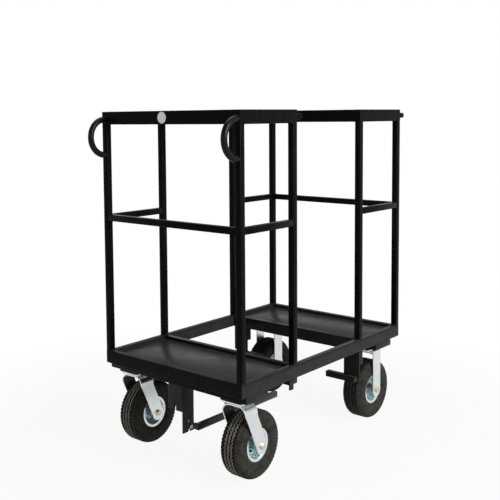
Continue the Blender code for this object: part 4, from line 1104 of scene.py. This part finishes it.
# %% Guards
STUB, STUB_TALL, GUARD_PLATE = 25.4 * MM, 64 * MM, 6 * MM
for side in SIDES:
    node = f"guard_bracket_{side}"
    low, high = box_of(node)
    first = [high[0] - STUB, low[1], high[2] - STUB_TALL]
    stub = bar(first, [high[0], high[1], high[2] + REACH / 2], "z")
    last = [low[0] + GUARD_PLATE, high[1], high[2]]
    plate = bar(low, last, "x", corner=1.5 * MM, lip=0.6 * MM)
    piece(f"guard_hanger_{side}", [stub, plate], [node])
    node = f"guard_bar_{side}"
    low, high = box_of(node)
    high[2] += REACH
    piece(f"guard_tube_{side}", [bar(low, high, "y")], [node])

# %% [markdown]
# ## Floor, light and camera
# The cart stands on a pale floor under large soft lamps. The floor and the sky are white to
# the camera, and polished metal sees the same white. The camera is about three and a half
# metres off at chest height, and looks at the push end from the right.


# %% Floor
def seen_by(tree, *rays):
    """1 for a ray of any of these kinds, and 0 for every other ray."""
    kinds = add(tree, "LightPath", {}).node.outputs
    share = kinds[rays[0]]
    for ray in rays[1:]:
        share = add(tree, "Math", {0: share, 1: kinds[ray]}, operation="MAXIMUM")
    return share


bpy.ops.mesh.primitive_plane_add(size=40)
studio_floor = bpy.context.object
studio_floor.name = "studio_floor"
material, shader, tree, place = start_material("pale_floor")
wire(shader, {"Base Color": linear("#b4b4b4"), "Roughness": 0.9, "Specular IOR Level": 0.1})
glow = add(tree, "Emission", {"Color": (1, 1, 1, 1), "Strength": 1.0})
white = seen_by(tree, "Is Camera Ray", "Is Glossy Ray", "Is Transmission Ray")
# Away from the cart the floor turns to pure white, so that no horizon shows.
far_off = add(tree, "VectorMath", {0: place}, 1, operation="LENGTH")
fade = {0: far_off, 1: 0.8, 2: 2.0, 3: 0.92}
fade = add(tree, "MapRange", fade, interpolation_type="SMOOTHSTEP")
share = add(tree, "Math", {0: white, 1: fade}, operation="MULTIPLY")
mixed = add(tree, "MixShader", {0: share, 1: shader.outputs[0], 2: glow})
wire(tree.nodes["Material Output"], {"Surface": mixed})
studio_floor.data.materials.append(material)

# %% Light
AMBIENT = 0.15
world = bpy.data.worlds.new("studio")
bpy.context.scene.world = world
world.use_nodes = True
tree = world.node_tree
# What shines sees a white cove at its own height and a grey ceiling above it.
rise = add(tree, "SeparateXYZ", {0: add(tree, "TexCoord", {}, "Generated")}, "Z")
cove = add(tree, "MapRange", {0: rise, 1: 0.1, 2: 0.4, 3: 1.0, 4: 0.45})
shiny = seen_by(tree, "Is Glossy Ray", "Is Transmission Ray")
level = add(tree, "Mix", {0: shiny, 2: AMBIENT, 3: cove}, data_type="FLOAT")
level = {0: seen_by(tree, "Is Camera Ray"), 2: level, 3: 1.0}
level = add(tree, "Mix", level, data_type="FLOAT")
wire(tree.nodes["Background"], {"Color": (1, 1, 1, 1), "Strength": level})


def lamp(name, place, target, size, power):
    light = bpy.data.lights.new(name, "AREA")
    light.shape = "DISK"
    light.size = size
    light.energy = power
    made = in_scene(name, light)
    made.location = place
    made.rotation_euler = (Vector(target) - Vector(place)).to_track_quat("-Z", "Y").to_euler()


lamp("key_lamp", (-0.2, -4.2, 2.7), (0, 0, 0.5), 2.4, 260)
lamp("fill_lamp", (-4.2, 0.6, 2.6), (0, 0, 0.7), 1.2, 6)
lamp("top_lamp", (0.2, 0.6, 4.4), (0, 0, 0.8), 2.6, 40)

# %% Camera
PHOTO_SIDE, FOCAL_PIXELS, SENSOR = 500, 825.63, 36.0
YAW, PITCH, ROLL = math.radians(41.795), math.radians(4.443), math.radians(-0.587)
camera_data = bpy.data.cameras.new("photo_camera")
camera_data.sensor_width = SENSOR
camera_data.lens = FOCAL_PIXELS / PHOTO_SIDE * SENSOR
camera_data.shift_x = 0.090
camera_data.shift_y = -0.137
camera = in_scene("photo_camera", camera_data)
camera.location = (-2.7264, -2.1515, 1.3400)
level_ahead = math.cos(PITCH)
ahead = Vector((math.cos(YAW) * level_ahead, math.sin(YAW) * level_ahead, -math.sin(PITCH)))
camera.rotation_euler = ahead.to_track_quat("-Z", "Y").to_matrix().to_4x4().to_euler()
camera.rotation_euler.rotate_axis("Z", ROLL)
bpy.context.scene.camera = camera
bpy.context.scene.view_settings.view_transform = "Standard"
